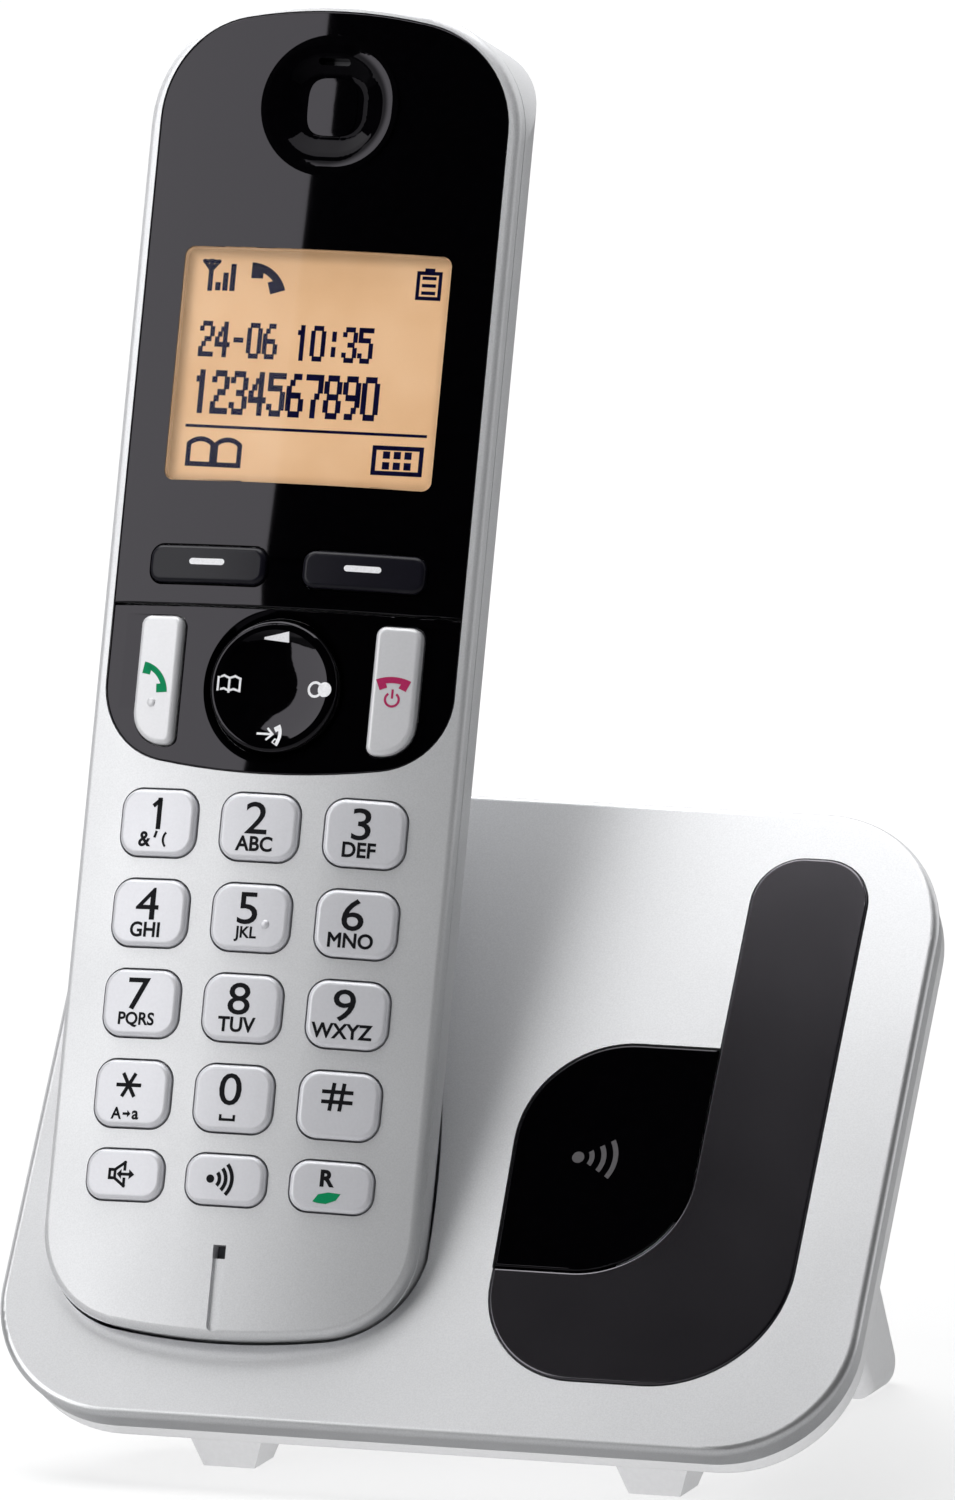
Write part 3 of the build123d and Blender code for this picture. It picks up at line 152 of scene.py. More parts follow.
class Drawing:
    """Flat artwork in millimetres: a list of corners and the polygons between them."""

    def __init__(self):
        self.points = []
        self.polygons = []

    def polygon(self, corners):
        """Filled outline."""
        first = len(self.points)
        self.points += corners
        self.polygons.append(list(range(first, first + len(corners))))
        return self

    def bar(self, start, end, width):
        """Straight stroke with square ends that run half a width past its points."""
        run = Vector(end) - Vector(start)
        half = run.normalized() * (width / 2)
        side = Vector((-half.y, half.x))
        first, last = Vector(start) - half, Vector(end) + half
        corners = [first - side, last - side, last + side, first + side]
        return self.polygon([tuple(corner) for corner in corners])

    def line(self, points, width):
        """Strokes from point to point."""
        for start, end in zip(points, points[1:]):
            self.bar(start, end, width)
        return self

    def frame(self, left, low, right, high, width):
        """Outlined rectangle."""
        return self.line([(left, low), (right, low), (right, high), (left, high), (left, low)], width)

    def block(self, left, low, right, high):
        """Filled rectangle."""
        return self.polygon([(left, low), (right, low), (right, high), (left, high)])

    def arc(self, middle, radius, width, start, end, steps=20):
        """Stroke along an arc, with its angles in degrees."""
        turns = [math.radians(start + (end - start) * step / steps) for step in range(steps + 1)]
        inner, outer = [
            [(middle[0] + reach * math.cos(turn), middle[1] + reach * math.sin(turn)) for turn in turns]
            for reach in (radius - width / 2, radius + width / 2)
        ]
        for step in range(steps):
            self.polygon([inner[step], outer[step], outer[step + 1], inner[step + 1]])
        return self

    def disc(self, middle, radius):
        """Filled disc, in rings so that it follows a curved surface."""
        for inner, outer in ((0, 1 / 3), (1 / 3, 2 / 3), (2 / 3, 1)):
            self.arc(middle, radius * (inner + outer) / 2, radius * (outer - inner), 0, 360, steps=24)
        return self

    def text(self, words, height, middle, stretch, weight):
        """Lettering of this height, centred on a point, with its strokes made heavier all round."""
        data = bpy.data.curves.new("lettering", "FONT")
        data.body = words
        data.bevel_depth = weight
        data.bevel_resolution = 0
        data.resolution_u = LETTER_CURVE_STEPS
        holder = bpy.data.objects.new("lettering", data)
        bpy.context.scene.collection.objects.link(holder)
        bpy.context.view_layer.update()
        shaped = holder.evaluated_get(bpy.context.evaluated_depsgraph_get())
        mesh = bpy.data.meshes.new_from_object(shaped)
        corners = [vertex.co for vertex in mesh.vertices]
        low = min(corner.y for corner in corners)
        scale = height / (max(corner.y for corner in corners) - low)
        left, right = min(corner.x for corner in corners), max(corner.x for corner in corners)
        first = len(self.points)
        for corner in corners:
            x = (corner.x - (left + right) / 2) * scale * stretch + middle[0]
            self.points.append((x, (corner.y - low) * scale - height / 2 + middle[1]))
        for face in mesh.polygons:
            if min(corners[index].z for index in face.vertices) > -FLAT:
                self.polygons.append([first + index for index in face.vertices])
        bpy.data.objects.remove(holder)
        bpy.data.meshes.remove(mesh)
        bpy.data.curves.remove(data)
        return self

    def pixels(self, words, pitch, row, middle):
        """Display lettering: each lit cell is a block, a little wider than its column."""
        column = pitch / (GLYPH_COLUMNS + 1)
        start = middle[0] - len(words) * pitch / 2
        for place, letter in enumerate(words):
            if letter not in GLYPHS:
                continue
            first = GLYPHS.index(letter) * (GLYPH_COLUMNS + 1)
            for line, cells in enumerate(GLYPH_SHEET):
                for step, cell in enumerate(cells[first:first + GLYPH_COLUMNS]):
                    if cell == "#":
                        x = start + place * pitch + (step + 0.5) * column
                        y = middle[1] + (len(GLYPH_SHEET) / 2 - line - 0.5) * row
                        reach = column * CELL_SPREAD / 2
                        self.block(x - reach, y - row / 2, x + reach, y + row / 2)
        return self


def new_material(name):
    """New material, its node tree and its shader."""
    material = bpy.data.materials.new(name)
    material.use_nodes = True
    tree = material.node_tree
    return material, tree, tree.nodes["Principled BSDF"]


def noise(tree, scale, detail=3.0):
    """Noise that stays on a piece as it moves."""
    place = tree.nodes.new("ShaderNodeTexCoord")
    texture = tree.nodes.new("ShaderNodeTexNoise")
    texture.inputs["Scale"].default_value = scale
    texture.inputs["Detail"].default_value = detail
    tree.links.new(place.outputs["Object"], texture.inputs["Vector"])
    return texture.outputs["Fac"]


def blend_colors(tree, factor, low, high):
    """Colour that goes from one tone to the other as the factor grows."""
    ramp = tree.nodes.new("ShaderNodeValToRGB")
    stops = zip(ramp.color_ramp.elements, (BLEND_START, BLEND_END), (low, high))
    for stop, position, color in stops:
        stop.position = position
        stop.color = (*color, 1)
    tree.links.new(factor, ramp.inputs["Fac"])
    return ramp.outputs["Color"]


def spread(tree, factor, low, high):
    """Straight run between two values."""
    span = tree.nodes.new("ShaderNodeMapRange")
    span.inputs["To Min"].default_value = low
    span.inputs["To Max"].default_value = high
    tree.links.new(factor, span.inputs["Value"])
    return span.outputs["Result"]


def fade(tree, value, start, end, low, high):
    """Smooth step between two values."""
    span = tree.nodes.new("ShaderNodeMapRange")
    span.interpolation_type = "SMOOTHSTEP"
    for socket, number in zip(("From Min", "From Max", "To Min", "To Max"), (start, end, low, high)):
        span.inputs[socket].default_value = number
    tree.links.new(value, span.inputs["Value"])
    return span.outputs["Result"]


def calculate(tree, operation, *terms):
    """Math node whose terms are numbers or other nodes' outputs."""
    node = tree.nodes.new("ShaderNodeMath")
    node.operation = operation
    for socket, term in zip(node.inputs, terms):
        if isinstance(term, bpy.types.NodeSocket):
            tree.links.new(term, socket)
        else:
            socket.default_value = term
    return node.outputs["Value"]


def bump(tree, shader, height, depth):
    """Grain of this depth on the surface."""
    node = tree.nodes.new("ShaderNodeBump")
    node.inputs["Distance"].default_value = depth
    node.inputs["Strength"].default_value = GRAIN_STRENGTH
    tree.links.new(height, node.inputs["Height"])
    tree.links.new(node.outputs["Normal"], shader.inputs["Normal"])


def distance_along(tree, way, center):
    """Signed distance of the shaded point from a place along a direction."""
    place = tree.nodes.new("ShaderNodeTexCoord")
    along = tree.nodes.new("ShaderNodeVectorMath")
    along.operation = "DOT_PRODUCT"
    along.inputs[1].default_value = way
    tree.links.new(place.outputs["Object"], along.inputs[0])
    return calculate(tree, "SUBTRACT", along.outputs["Value"], center)


def shade(color, amount):
    """Colour made darker or lighter."""
    return tuple(channel * amount for channel in color)


def moulded(name, color, roughness, grain=2500.0, depth=0.004 * MM, variation=0.05, **sockets):
    """Moulded or painted plastic: fine grain, slight colour drift and uneven gloss."""
    material, tree, shader = new_material(name)
    fine = noise(tree, grain)
    broad = noise(tree, BROAD_SCALE, BROAD_DETAIL)
    tone = blend_colors(tree, fine, shade(color, 1 - variation), shade(color, 1 + variation))
    tree.links.new(tone, shader.inputs["Base Color"])
    gloss = spread(tree, broad, roughness * (1 - GLOSS_SPREAD), roughness * (1 + GLOSS_SPREAD))
    tree.links.new(gloss, shader.inputs["Roughness"])
    bump(tree, shader, fine, depth)
    for socket, value in sockets.items():
        shader.inputs[socket.replace("_", " ")].default_value = value
    return material


def silver(name, color, roughness, metallic):
    """Silver paint with fine flakes."""
    return moulded(name, color, roughness, grain=5200.0, depth=0.003 * MM, Metallic=metallic)


def key_plastic(name, color, metallic):
    """Pale key plastic with a slight sheen."""
    return moulded(
        name, color, roughness=0.42, grain=3000.0, depth=0.002 * MM, variation=0.02, Metallic=metallic
    )


def gloss_plastic(name):
    """Black gloss plastic with a slight violet sheen."""
    return moulded(
        name, GLOSS_COLOR, roughness=0.04, grain=900.0, depth=0.0004 * MM, variation=0.2,
        Specular_IOR_Level=GLOSS_SHINE, Specular_Tint=VIOLET,
    )


def bare_metal(name, color, roughness, grain, depth):
    """Metal with a drawn or plated surface."""
    return moulded(name, color, roughness, grain=grain, depth=depth, variation=0.1, Metallic=1.0)


def ink(name, color):
    """Matt print."""
    return moulded(
        name, color, roughness=0.6, grain=6000.0, depth=0.001 * MM, variation=0.08,
        Specular_IOR_Level=0.12,
    )


base_silver = silver("base_silver", (0.74, 0.745, 0.76), roughness=0.36, metallic=0.8)
handset_silver = silver("handset_silver", (0.77, 0.775, 0.79), roughness=0.48, metallic=0.6)
white = moulded(
    "white_plastic", (0.86, 0.86, 0.87), roughness=0.3, grain=1800.0, depth=0.003 * MM, variation=0.02
)
key_grey = key_plastic("key_plastic", (0.72, 0.72, 0.755), metallic=0.35)
call_grey = key_plastic("call_key_plastic", (0.72, 0.72, 0.74), metallic=0.3)
gloss_black = gloss_plastic("gloss_black")
panel_black = gloss_plastic("panel_black")
accent = moulded(
    "accent_satin", (0.003, 0.0022, 0.0034), roughness=0.18, grain=4200.0, depth=0.003 * MM,
    variation=0.15, Specular_IOR_Level=1.0, IOR=1.62, Specular_Tint=VIOLET,
)
soft_grey = moulded(
    "soft_key_plastic", (0.006, 0.0055, 0.010), roughness=0.30, grain=2600.0, depth=0.003 * MM,
    variation=0.1, Specular_IOR_Level=0.25,
)
mat_rubber = moulded("key_rubber", (0.35, 0.35, 0.37), roughness=0.7)
board_green = moulded(
    "circuit_board", (0.01, 0.09, 0.04), roughness=0.4, grain=700.0, depth=0.02 * MM, variation=0.3
)
dark_metal = moulded("speaker_metal", (0.16, 0.16, 0.17), roughness=0.4, Metallic=0.8)
sleeve = moulded("cell_sleeve", (0.03, 0.2, 0.1), roughness=0.25, grain=900.0, variation=0.1)
contact_metal = bare_metal(
    "contact_metal", (0.78, 0.70, 0.50), roughness=0.28, grain=1800.0, depth=0.004 * MM
)
screw_steel = bare_metal("screw_steel", (0.5, 0.5, 0.52), roughness=0.3, grain=1500.0, depth=0.006 * MM)
socket_black = moulded(
    "socket_black", (0.012, 0.012, 0.013), roughness=0.5, grain=1500.0, depth=0.006 * MM, variation=0.1
)
print_black = ink("print_black", (0.006, 0.006, 0.008))
print_white = ink("print_white", (0.85, 0.85, 0.87))
print_grey = ink("print_grey", (0.10, 0.095, 0.10))
print_green = ink("print_green", (0.0, 0.24, 0.09))
print_red = ink("print_red", (0.40, 0.02, 0.10))
display_ink = ink("display_ink", (0.004, 0.004, 0.075))


def shade_dish(material):
    """Dull the ear dish's wall, by the distance from the dish's middle."""
    tree = material.node_tree
    squares = []
    for way, center in zip((ACROSS, handset_face.along), handset_face.spot("earpiece_speaker")):
        away = distance_along(tree, way, center)
        squares.append(calculate(tree, "MULTIPLY", away, away))
    distance = calculate(tree, "SQRT", calculate(tree, "ADD", *squares))
    shine = fade(tree, distance, DISH_WALL, DISH_LIP, DISH_SHINE, GLOSS_SHINE)
    tree.links.new(shine, tree.nodes["Principled BSDF"].inputs["Specular IOR Level"])


def clear_window():
    """Clear plastic with a faintly uneven gloss."""
    material, tree, shader = new_material("clear_window")
    shader.inputs["Transmission Weight"].default_value = 1.0
    shader.inputs["IOR"].default_value = WINDOW_IOR
    roughness = spread(tree, noise(tree, scale=60.0), *WINDOW_ROUGHNESS)
    tree.links.new(roughness, shader.inputs["Roughness"])
    return material


def display_painted_glow():
    """Amber display film with painted light: it glows in place of the light that reaches it through the
    window, and a painted shadow dims the glow near the panel's edge.
    """
    material, tree, shader = new_material("display_painted_glow")
    color = blend_colors(tree, noise(tree, scale=90.0), DISPLAY_DARK, DISPLAY_PALE)
    tree.links.new(color, shader.inputs["Base Color"])
    # Painted light: the film glows in its own colour, standing in for the light that reaches it through the
    # window
    tree.links.new(color, shader.inputs["Emission Color"])
    nearness = []
    for way, low, high in zip((ACROSS, handset_face.along), *handset_face.reach("display_lens")):
        away = calculate(tree, "ABSOLUTE", distance_along(tree, way, (low + high) / 2))
        nearness.append(calculate(tree, "SUBTRACT", away, (high - low) / 2))
    edge = calculate(tree, "MAXIMUM", *nearness)
    # Painted shadow: the glow is dimmed within EDGE_SHADE of the window's edge, where the panel's edge
    # shades the film
    shaded = fade(tree, edge, -EDGE_SHADE, 0.0, 1.0, EDGE_GLOW)
    least, most = DISPLAY_GLOW * (1 - GLOW_SPREAD), DISPLAY_GLOW * (1 + GLOW_SPREAD)
    grain = spread(tree, noise(tree, scale=3000.0), least, most)
    tree.links.new(calculate(tree, "MULTIPLY", grain, shaded), shader.inputs["Emission Strength"])
    shader.inputs["Roughness"].default_value = DISPLAY_ROUGHNESS
    return material


NODE_MATERIALS = {
    base_silver: ["base_front_cover"],
    handset_silver: ["handset_front_shell", "handset_rear_shell", "battery_cover"],
    white: ["base_rear_housing"],
    panel_black: ["display_panel"],
    gloss_black: ["control_panel", "locator_key", "navigator_key"],
    accent: ["accent_panel"],
    call_grey: ["talk_key", "off_key"],
    soft_grey: ["soft_key_left", "soft_key_right"],
    clear_window(): ["display_lens"],
    # The display film's glow is painted light, and its dimmer edge is a painted shadow
    display_painted_glow(): ["lcd_module"],
    mat_rubber: ["keypad_mat"],
    board_green: ["handset_circuit_board", "base_circuit_board", "connector_board"],
    dark_metal: ["earpiece_speaker", "ringer_speaker", "microphone"],
    sleeve: ["battery_cells"],
    contact_metal: ["battery_contacts", "handset_charge_contacts", "base_charge_contacts"],
    screw_steel: ["handset_screws", "base_screws"],
    socket_black: ["dc_jack", "line_socket", "navigator_post"],
    key_grey: [name for name in nodes if name.startswith("key_")],
}
shade_dish(panel_black)
for material, names in NODE_MATERIALS.items():
    for name in names:
        nodes[name].data.materials.clear()
        nodes[name].data.materials.append(material)
bodies = frame["record"]["behaviour"]["bodies"]
body_of_node = {node: body for body, members in bodies.items() for node in members}


def add_piece(name, corners, polygons, material, node, smooth=False):
    """Add a piece that moves with a CAD node, with corners that coincide joined."""
    mesh = bpy.data.meshes.new(name)
    mesh.from_pydata(corners, [], polygons)
    joined = bmesh.new()
    joined.from_mesh(mesh)
    bmesh.ops.remove_doubles(joined, verts=joined.verts, dist=JOIN)
    joined.to_mesh(mesh)
    joined.free()
    if smooth:
        mesh.shade_smooth()
    mesh.materials.append(material)
    piece = bpy.data.objects.new(name, mesh)
    bpy.context.scene.collection.objects.link(piece)
    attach(piece, body_of_node[node])


def stamp(name, drawing, node, face, material):
    """Print a drawing on a CAD node: each corner is dropped straight onto the node's surface."""
    across, along = face.spot(node)
    lift = face.out * INK_LIFT
    places = [face.drop(node, across + x * MM, along + y * MM) + lift for x, y in drawing.points]
    add_piece(name, places, drawing.polygons, material, node)


def ring_polygons(rings, turns):
    """Faces between rings of corners, listed from the outermost ring to the middle."""
    polygons = []
    for ring in range(rings):
        for turn in range(turns):
            after = (turn + 1) % turns
            base = ring * turns
            polygons.append([base + turn, base + after, base + turns + after, base + turns + turn])
    return polygons


def tactile_dot(name, node, across, along, height, material):
    """Low round bump that a finger can find."""
    middle_across, middle_along = handset_face.spot(node)
    rings, turns = 5, 20
    corners = []
    for ring in range(rings + 1):
        lean = math.pi / 2 * ring / rings
        for turn in range(turns):
            angle = 2 * math.pi * turn / turns
            x = across + DOT_RADIUS * math.cos(lean) * math.cos(angle)
            y = along + DOT_RADIUS * math.cos(lean) * math.sin(angle)
            place = handset_face.drop(node, middle_across + x * MM, middle_along + y * MM)
            corners.append(place + handset_face.out * (height * math.sin(lean) * MM))
    add_piece(name, corners, ring_polygons(rings, turns), material, node, smooth=True)


def dish_floor():
    """Floor of the ear dish, crowned a little across so that it mirrors the light's edge."""
    middle_across, middle_along = handset_face.spot("earpiece_speaker")
    rings, turns = 14, 48
    deepest = (DISH_FLOOR[0] + DISH_PEAK) ** 2 / (2 * DISH_CROWN)
    corners = []
    for ring in range(rings + 1):
        for turn in range(turns):
            angle = 2 * math.pi * turn / turns
            ways = math.cos(angle), math.sin(angle)
            x, y = [
                half * (1 - ring / rings) * math.copysign(abs(way) ** DISH_SQUARE, way)
                for half, way in zip(DISH_FLOOR, ways)
            ]
            place = handset_face.drop("display_panel", middle_across + x * MM, middle_along + y * MM)
            rise = deepest - (x - DISH_PEAK) ** 2 / (2 * DISH_CROWN)
            corners.append(place + handset_face.out * (INK_LIFT + rise * MM))
    faces = ring_polygons(rings, turns)
    add_piece("ear_dish_floor", corners, faces, gloss_black, "display_panel", smooth=True)


def waves(drawing, dot, radius, width, gap, count, reach, dot_radius):
    """Dot with curved waves leaving it to the right."""
    drawing.disc(dot, dot_radius)
    for ring in range(count):
        drawing.arc(dot, radius + ring * gap, width, -reach, reach)
    return drawing


def handset_mark(drawing, middle, turn, length, bow, width, pad):
    """Handset seen from the side: a bowed grip with a pad of this length and depth at each end."""
    half = length / 2
    radius = (half**2 + bow**2) / (2 * bow)
    reach = math.degrees(math.asin(half / radius))
    along = Vector((math.cos(math.radians(turn)), math.sin(math.radians(turn))))
    up = Vector((-along.y, along.x))
    center = Vector(middle) + up * (bow / 2 - radius)
    drawing.arc(tuple(center), radius, width, turn + 90 - reach, turn + 90 + reach)
    lean = math.radians(reach)
    for side in (-1, 1):
        out = along * side * math.sin(lean) + up * math.cos(lean)
        inward = up * math.sin(lean) - along * side * math.cos(lean)
        end = center + out * radius
        inner, under = inward * pad[0], out * pad[1]
        corners = [end + out * width / 2, end - under, end + inner - under, end + inner]
        drawing.polygon([tuple(corner) for corner in corners])
    return drawing


def book_mark(drawing, middle, width, height, stroke):
    """Open book: two pages that rise towards the spine."""
    x, y = middle
    top, low = y + height / 2, y - height / 2
    for half in (-width / 2, width / 2):
        page = [(x, low + stroke), (x + half * 0.45, low + stroke * 1.7), (x + half, low + stroke)]
        page += [(x + half, top - stroke), (x + half * 0.5, top), (x, top - stroke)]
        drawing.line(page, stroke)
    return drawing.bar((x, low + stroke * 0.4), (x, top - stroke), stroke)


def print_keys():
    """Digits, letters and signs of the twelve number keys."""
    for digit, letters in KEY_WORDS.items():
        art = Drawing().text(digit, DIGIT_HEIGHT, DIGIT_PLACE, DIGIT_STRETCH, DIGIT_WEIGHT)
        art.text(letters, LETTER_HEIGHT, LETTER_PLACE, LETTER_STRETCH, LETTER_WEIGHT)
        stamp(f"print_key_{digit}", art, f"key_{digit}", handset_face, print_black)
    one = Drawing().bar((0.1, -0.55), (0.1, 2.65), 0.6).bar((-0.55, 2.1), (0.1, 2.65), 0.5)
    one.text("&", LETTER_HEIGHT, (-1.5, -2.05), LETTER_STRETCH, LETTER_WEIGHT)
    one.bar((-0.05, -1.2), (-0.2, -1.7), 0.32).arc((2.1, -2.05), 1.2, 0.28, 135, 225)
    stamp("print_key_1", one, "key_1", handset_face, print_black)
    star = Drawing()
    for angle in (0, 60, 120):
        arm = Vector((math.cos(math.radians(angle)), math.sin(math.radians(angle)))) * 1.4
        star.bar((-arm.x - 0.45, -arm.y + 0.95), (arm.x - 0.45, arm.y + 0.95), SIGN_STROKE)
    star.text("A", height=1.45, middle=(-1.75, -2.45), stretch=0.95, weight=LETTER_WEIGHT)
    star.text("a", height=1.1, middle=(0.75, -2.62), stretch=0.95, weight=LETTER_WEIGHT)
    star.bar((-0.75, -2.5), (-0.35, -2.5), 0.3).polygon([(-0.3, -2.05), (0.15, -2.5), (-0.3, -2.95)])
    stamp("print_key_star", star, "key_star", handset_face, print_black)
    zero = Drawing().text("0", DIGIT_HEIGHT, DIGIT_PLACE, DIGIT_STRETCH, DIGIT_WEIGHT)
    zero.line([(-1.25, -2.15), (-1.25, -2.6), (0.45, -2.6), (0.45, -2.15)], 0.32)
    stamp("print_key_0", zero, "key_0", handset_face, print_black)
    hash_mark = Drawing()
    for step in (-0.6, 0.6):
        hash_mark.bar((-1.75, 0.95 + step), (1.55, 0.95 + step), SIGN_STROKE)
        hash_mark.bar((step - 0.3, -0.5), (step, 2.4), SIGN_STROKE)
    stamp("print_key_hash", hash_mark, "key_hash", handset_face, print_black)


def print_function_keys():
    """Loudspeaker, intercom and recall signs of the bottom row."""
    speaker = Drawing().frame(-1.85, -0.5, -1.15, 0.5, SPEAKER_STROKE)
    for side in (1, -1):
        speaker.line([(-1.1, 0.55 * side), (0.1, 1.4 * side), (0.1, 0.6 * side)], SPEAKER_STROKE)
    speaker.bar((-0.3, 0), (0.6, 0), SPEAKER_STROKE).polygon([(0.7, 0.6), (1.4, 0), (0.7, -0.6)])
    speaker.polygon([(-0.3, 0.6), (-0.9, 0), (-0.3, -0.6)])
    stamp("print_key_speaker", speaker, "key_speaker", handset_face, print_black)
    call = waves(
        Drawing(), (-1.75, 0.0), radius=1.15, width=SIGN_STROKE, gap=0.78, count=3, reach=42, dot_radius=0.5
    )
    stamp("print_key_intercom", call, "key_intercom", handset_face, print_black)
    recall = Drawing().text("R", height=2.05, middle=(-0.35, 0.95), stretch=1.0, weight=0.04)
    stamp("print_key_recall", recall, "key_recall", handset_face, print_black)
    leaf = Drawing().polygon(
        [(-1.9, -1.9), (-1.3, -1.0), (-0.1, -0.7), (1.4, -0.8), (0.9, -1.6), (-0.3, -2.1), (-1.3, -2.05)]
    )
    stamp("print_key_recall_leaf", leaf, "key_recall", handset_face, print_green)


def print_call_keys():
    """Talk and off signs, the tactile dots, and the soft keys' dashes."""
    talk = handset_mark(
        Drawing(), (0.0, 0.35), turn=-48, length=4.4, bow=0.75, width=0.7, pad=(1.05, 1.05)
    )
    stamp("print_talk", talk, "talk_key", handset_face, print_green)
    off = handset_mark(Drawing(), (0, 1.15), turn=0, length=3.9, bow=0.4, width=0.75, pad=(0.95, 1.0))
    off.arc((0, -1.0), 0.82, 0.28, 125, 415).bar((0, -0.75), (0, 0.1), 0.26)
    stamp("print_off", off, "off_key", handset_face, print_red)
    tactile_dot("tactile_dot_talk", "talk_key", across=-0.4, along=-2.8, height=0.22, material=call_grey)
    tactile_dot("tactile_dot_5", "key_5", across=2.0, along=-0.75, height=0.25, material=key_grey)
    for name in ("soft_key_left", "soft_key_right"):
        dash = Drawing().bar((-1.6, 0.3), (1.6, 0.3), 0.75)
        dash.disc((-1.9, 0.3), 0.375).disc((1.9, 0.3), 0.375)
        stamp(f"print_{name}", dash, name, handset_face, print_white)


def print_navigator():
    """Volume wedge in slices, book, two circles, and an arrow to a handset."""
    art = Drawing()
    left, right, slices = -1.65, 1.45, 6
    for step in range(slices):
        start, end = step / slices, (step + 1) / slices
        low, high = [(left + (right - left) * part, 5.6 - 0.25 * part) for part in (start, end)]
        art.polygon([low, high, (high[0], 5.85 + 0.8 * end), (low[0], 5.85 + 0.8 * start)])
    book_mark(art, (-5.55, 0.0), width=2.55, height=2.0, stroke=0.26)
    art.arc((5.25, -0.1), 0.85, 0.32, 0, 360).disc((6.5, -0.1), 0.9)
    art.bar((-1.35, -5.75), (0.45, -5.75), 0.28)
    art.line([(-0.15, -5.1), (0.5, -5.75), (-0.15, -6.4)], 0.26)
    handset_mark(art, (1.25, -5.85), turn=-90, length=2.5, bow=0.35, width=0.42, pad=(0.65, 0.65))
    stamp("print_navigator", art, "navigator_key", handset_face, print_white)


def print_display():
    """What the display shows: signal, battery, a date line, digits and the soft keys' marks."""
    art = Drawing()
    art.bar((-14.7, 12.7), (-12.9, 12.7), 0.45).bar((-13.8, 9.4), (-13.8, 12.7), 0.6)
    art.line([(-14.7, 12.7), (-13.8, 11.6), (-12.9, 12.7)], 0.45)
    for place, top in ((-12.8, 10.2), (-11.9, 11.4), (-11.0, 12.5)):
        art.block(place - 0.33, 9.2, place + 0.33, top)
    handset_mark(art, (-6.5, 11.2), turn=-36, length=4.9, bow=0.8, width=0.95, pad=(1.5, 1.45))
    art.frame(12.25, 9.35, 15.0, 12.4, 0.45).block(13.0, 12.4, 14.25, 13.0)
    for step in range(3):
        art.bar((12.95, 10.0 + step * 0.9), (14.3, 10.0 + step * 0.9), 0.42)
    art.pixels("24-06 10:35", pitch=2.0, row=0.62, middle=(-3.4, 3.3))
    art.pixels("1234567890", pitch=2.36, row=0.76, middle=(-2.8, -3.1))
    art.bar((-15.0, -7.3), (15.0, -7.3), 0.36)
    for page in (-13.0, -9.6):
        left, right = page - 1.5, page + 1.5
        art.arc((page, -10.95), 2.1, PAGE_STROKE, 45, 135)
        art.bar((left, -11.9), (right, -11.9), PAGE_STROKE)
        art.bar((left, -11.9), (left, -9.6), PAGE_STROKE)
        art.bar((right, -11.9), (right, -9.6), PAGE_STROKE)
    art.frame(8.8, -11.95, 14.7, -8.9, 0.55)
    for column in range(3):
        for row in range(2):
            x, y = 10.35 + column * 1.35, -11.05 + row * 1.3
            art.block(x - 0.45, y - 0.45, x + 0.45, y + 0.45)
    stamp("print_display", art, "lcd_module", handset_face, display_ink)


def print_locator():
    """Waves on the base's locator key."""
    art = waves(
        Drawing(), (-3.2, -0.2), radius=1.7, width=0.62, gap=1.45, count=3, reach=32, dot_radius=0.75
    )
    stamp("print_locator", art, "locator_key", base_face, print_grey)


dish_floor()
print_keys()
print_function_keys()
print_call_keys()
print_navigator()
print_display()
print_locator()


def look_at(thing, place, target):
    """Put a camera or a light at a place, pointing at a target."""
    thing.location = place
    thing.rotation_euler = (Vector(target) - Vector(place)).to_track_quat("-Z", "Y").to_euler()


def place_camera():
    """Camera at the photograph's angle, aimed from the middle of key 2."""
    target = handset_face.drop("key_2", *handset_face.spot("key_2")) + TARGET_FROM_KEY_2
    turn, rise = math.radians(CAMERA_AZIMUTH), math.radians(CAMERA_ELEVATION)
    back = Vector((math.sin(turn) * math.cos(rise), -math.cos(turn) * math.cos(rise), math.sin(rise)))
    data = bpy.data.cameras.new("camera")
    data.lens = CAMERA_LENS
    data.sensor_width = CAMERA_SENSOR
    camera = bpy.data.objects.new("camera", data)
    bpy.context.scene.collection.objects.link(camera)
    look_at(camera, target + back * CAMERA_DISTANCE, target)
    bpy.context.scene.camera = camera


def softbox(name, direction, distance, width, height, power):
    """Rectangular light, pointing at the object, that the camera doesn't see."""
    data = bpy.data.lights.new(name, "AREA")
    data.shape = "RECTANGLE"
    data.size = width
    data.size_y = height
    data.energy = power
    light = bpy.data.objects.new(name, data)
    bpy.context.scene.collection.objects.link(light)
    light.visible_camera = False
    look_at(light, LIGHT_TARGET + Vector(direction).normalized() * distance, LIGHT_TARGET)


def mirror_rays(rays):
    """One for the rays that gloss and clear plastic send out, and zero for others."""
    glossy, clear = rays.outputs["Is Glossy Ray"], rays.outputs["Is Transmission Ray"]
    return calculate(rays.id_data, "MAXIMUM", glossy, clear)


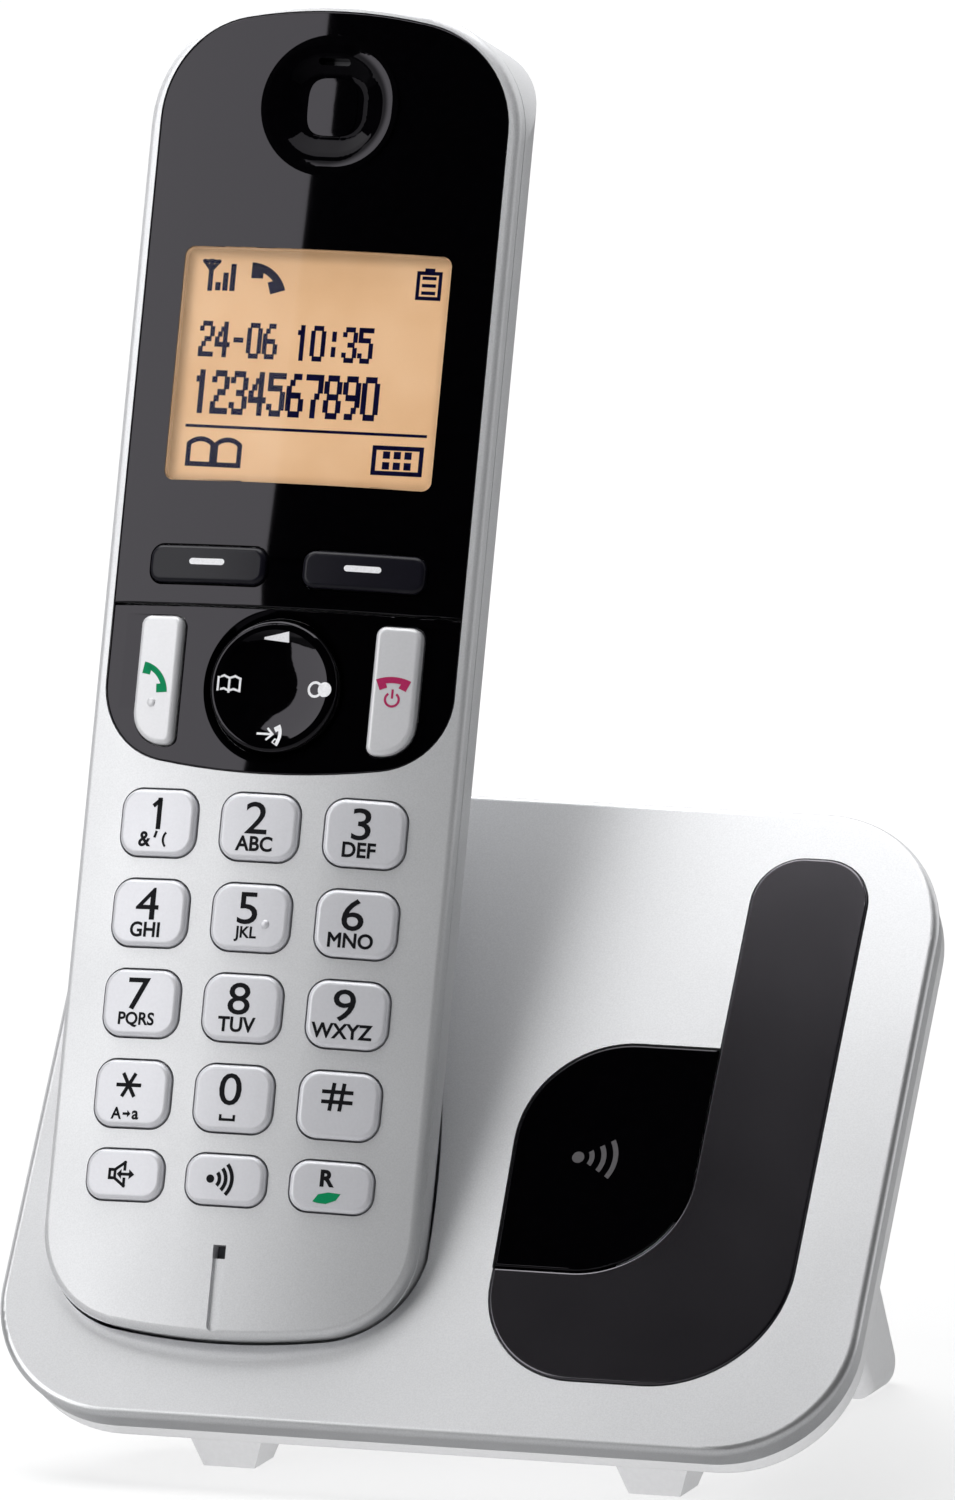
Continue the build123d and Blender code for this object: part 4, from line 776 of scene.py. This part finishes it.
def light_scene():
    """Large softbox at the front left, a smaller one close above, and a white world round them."""
    softbox("softbox_left", KEY_DIRECTION, KEY_DISTANCE, *KEY_SIZE, KEY_POWER)
    softbox("softbox_top", TOP_DIRECTION, TOP_DISTANCE, *TOP_SIZE, TOP_POWER)
    world = bpy.data.worlds.new("studio")
    bpy.context.scene.world = world
    world.use_nodes = True
    tree = world.node_tree
    place = tree.nodes.new("ShaderNodeTexCoord")
    axes = tree.nodes.new("ShaderNodeSeparateXYZ")
    tree.links.new(place.outputs["Generated"], axes.inputs["Vector"])
    fill = tree.nodes["Background"]
    fill.inputs["Color"].default_value = FILL_COLOR
    strength = fade(tree, axes.outputs["X"], *FILL_FADE, FILL_LEFT, FILL_RIGHT)
    tree.links.new(strength, fill.inputs["Strength"])
    backdrop = tree.nodes.new("ShaderNodeBackground")
    backdrop.inputs["Color"].default_value = WHITE
    strength = fade(tree, axes.outputs["Y"], *MIRROR_FADE, MIRROR_FRONT, MIRROR_BACK)
    tree.links.new(strength, backdrop.inputs["Strength"])
    seen = tree.nodes.new("ShaderNodeBackground")
    seen.inputs["Color"].default_value = WHITE
    rays = tree.nodes.new("ShaderNodeLightPath")
    glossy = tree.nodes.new("ShaderNodeMixShader")
    camera = tree.nodes.new("ShaderNodeMixShader")
    tree.links.new(mirror_rays(rays), glossy.inputs["Fac"])
    tree.links.new(fill.outputs["Background"], glossy.inputs[1])
    tree.links.new(backdrop.outputs["Background"], glossy.inputs[2])
    tree.links.new(rays.outputs["Is Camera Ray"], camera.inputs["Fac"])
    tree.links.new(glossy.outputs["Shader"], camera.inputs[1])
    tree.links.new(seen.outputs["Background"], camera.inputs[2])
    tree.links.new(camera.outputs["Shader"], tree.nodes["World Output"].inputs["Surface"])


def lay_floor():
    """Floor that looks white and keeps the shadow: a little light is added for each kind of ray."""
    mesh = bpy.data.meshes.new("floor")
    corners = [(FLOOR_HALF * x, FLOOR_HALF * y, 0) for x, y in ((-1, -1), (1, -1), (1, 1), (-1, 1))]
    mesh.from_pydata(corners, [], [[0, 1, 2, 3]])
    material = moulded(
        "floor_white", FLOOR_COLOR, roughness=0.9, grain=40.0, depth=0.01 * MM, variation=0.02
    )
    tree = material.node_tree
    glow = tree.nodes.new("ShaderNodeEmission")
    rays = tree.nodes.new("ShaderNodeLightPath")
    place = tree.nodes.new("ShaderNodeTexCoord")
    distance = tree.nodes.new("ShaderNodeVectorMath")
    distance.operation = "LENGTH"
    tree.links.new(place.outputs["Object"], distance.inputs[0])
    seen = fade(tree, distance.outputs["Value"], *FLOOR_FADE, FLOOR_NEAR, FLOOR_FAR)
    amount = calculate(tree, "MULTIPLY", rays.outputs["Is Diffuse Ray"], FLOOR_BOUNCE)
    amount = calculate(tree, "MULTIPLY_ADD", mirror_rays(rays), FLOOR_MIRROR, amount)
    amount = calculate(tree, "MULTIPLY_ADD", rays.outputs["Is Camera Ray"], seen, amount)
    tree.links.new(amount, glow.inputs["Strength"])
    both = tree.nodes.new("ShaderNodeAddShader")
    tree.links.new(tree.nodes["Principled BSDF"].outputs["BSDF"], both.inputs[0])
    tree.links.new(glow.outputs["Emission"], both.inputs[1])
    tree.links.new(both.outputs["Shader"], tree.nodes["Material Output"].inputs["Surface"])
    mesh.materials.append(material)
    floor = bpy.data.objects.new("floor", mesh)
    bpy.context.scene.collection.objects.link(floor)


place_camera()
light_scene()
lay_floor()
bpy.context.scene.view_settings.view_transform = "Standard"
